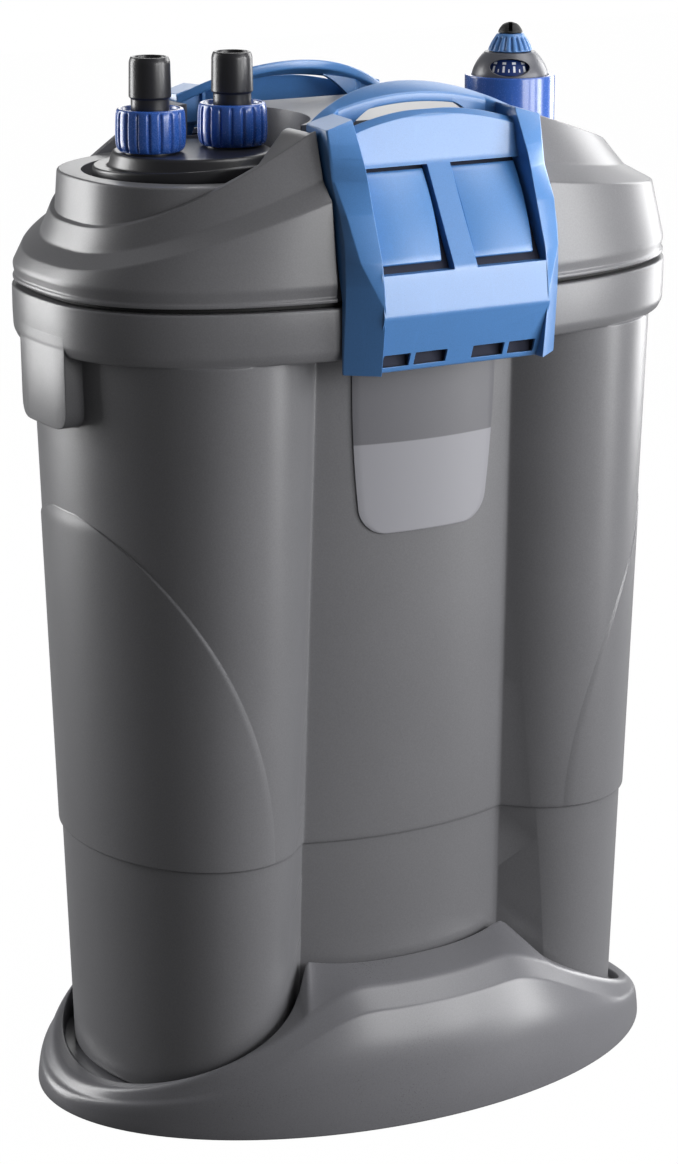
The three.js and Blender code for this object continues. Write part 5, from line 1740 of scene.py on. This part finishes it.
def make_floor():
    """A white floor under the filter, which keeps a faint shadow."""
    half = 4.0
    mesh = bpy.data.meshes.new("floor")
    corners = [(-half, -half, 0), (half, -half, 0), (half, half, 0), (-half, half, 0)]
    mesh.from_pydata(corners, [], [(0, 1, 2, 3)])
    floor = add_object("floor", mesh)
    f = Finish("white_floor")
    dark, pale = (
        f.node("ShaderNodeBsdfDiffuse", None, {"Color": (grey, grey, grey)})["BSDF"] for grey in (0.12, 0.8)
    )
    glow = f.node("ShaderNodeEmission", None, {"Color": (1, 1, 1), "Strength": 1.0})["Emission"]
    white = f.node("ShaderNodeMixShader", None, {0: GLOW_SHARE, 1: pale, 2: glow})["Shader"]
    seen = f.node("ShaderNodeMixShader", None, {0: seen_directly(f), 1: dark, 2: white})["Shader"]
    f.node("ShaderNodeOutputMaterial", None, {"Surface": seen})
    mesh.materials.append(f.material)


def make_lights():
    """Soft boxes round the filter.

    Each has a turn from the front and a height angle in degrees, a distance, a width and a
    height in metres.
    """
    boxes = {
        "key": (31, 14, 1.35, 0.3, 0.62),
        "upper": (40, 31, 1.4, 0.35, 0.35),
        "front": (12, 14, 1.4, 0.4, 0.4),
        "fill": (51, 7, 1.4, 0.3, 0.85),
        "left": (-140, 8, 1.4, 0.6, 1.2),
        "right": (104, 6, 1.4, 0.6, 1.2),
        "back": (143, 26, 1.5, 1.0, 0.9),
        "top": (62, 60, 1.4, 0.8, 0.7),
    }
    for name, (turn, rise, away, width, height) in boxes.items():
        light = bpy.data.lights.new(name, "AREA")
        light.shape = "RECTANGLE"
        light.size, light.size_y = width, height
        light.energy = getattr(bpy.context.scene.filter_stage, name)
        holder = add_aimed(name, light, LIGHTS_AIM, math.radians(turn), math.radians(rise), away)
        holder.visible_camera = False


class World(Finish):
    """The world, with a finish's ways of adding nodes."""

    def __init__(self, name):
        world = bpy.data.worlds.new(name)
        bpy.context.scene.world = world
        world.use_nodes = True
        self.tree = world.node_tree
        self.tree.nodes.clear()


def make_world():
    """A dim world that the camera sees as white."""
    sky = bpy.context.scene.filter_stage.sky
    world = World("studio")
    strength = seen_directly(world) * (1 - sky) + sky
    light = world.node("ShaderNodeBackground", None, {"Color": (1, 1, 1), "Strength": strength})
    world.node("ShaderNodeOutputWorld", None, {"Surface": light["Background"]})


# ---- Panel and registration ----

STEPS = (
    FILTER_OT_stage,
    FILTER_OT_foot,
    FILTER_OT_canister,
    FILTER_OT_lid,
    FILTER_OT_latches,
    FILTER_OT_connector,
    FILTER_OT_heater,
    FILTER_OT_inside,
)


class FILTER_PT_build(bpy.types.Panel):
    """Lists the filter's pieces, sizes and colours"""

    bl_label = "Canister filter"
    bl_idname = "FILTER_PT_build"
    bl_space_type = "VIEW_3D"
    bl_region_type = "UI"
    bl_category = "Filter"

    def draw(self, context):
        for step in STEPS:
            self.layout.operator(step.bl_idname)
        for group in ("filter_sizes", "filter_colours", "filter_stage"):
            settings = getattr(context.scene, group)
            box = self.layout.box()
            for name in settings.bl_rna.properties.keys():
                if name not in ("rna_type", "name"):
                    box.prop(settings, name)


CLASSES = (FilterSizes, FilterColours, StageSettings, *STEPS, FILTER_PT_build)


def register():
    """Registers the classes and hangs their settings on the scene."""
    for item in CLASSES:
        bpy.utils.register_class(item)
    bpy.types.Scene.filter_sizes = PointerProperty(type=FilterSizes)
    bpy.types.Scene.filter_colours = PointerProperty(type=FilterColours)
    bpy.types.Scene.filter_stage = PointerProperty(type=StageSettings)


def unregister():
    """Takes the settings and the classes away again."""
    del bpy.types.Scene.filter_stage
    del bpy.types.Scene.filter_colours
    del bpy.types.Scene.filter_sizes
    for item in reversed(CLASSES):
        bpy.utils.unregister_class(item)


def main():
    """Builds the filter and its stage."""
    register()
    bpy.context.scene.view_settings.view_transform = "Standard"
    for step in STEPS:
        group, name = step.bl_idname.split(".")
        result = getattr(getattr(bpy.ops, group), name)()
        if result != {"FINISHED"}:
            raise RuntimeError(f"{step.bl_label} wasn't made")


if __name__ == "__main__":
    main()
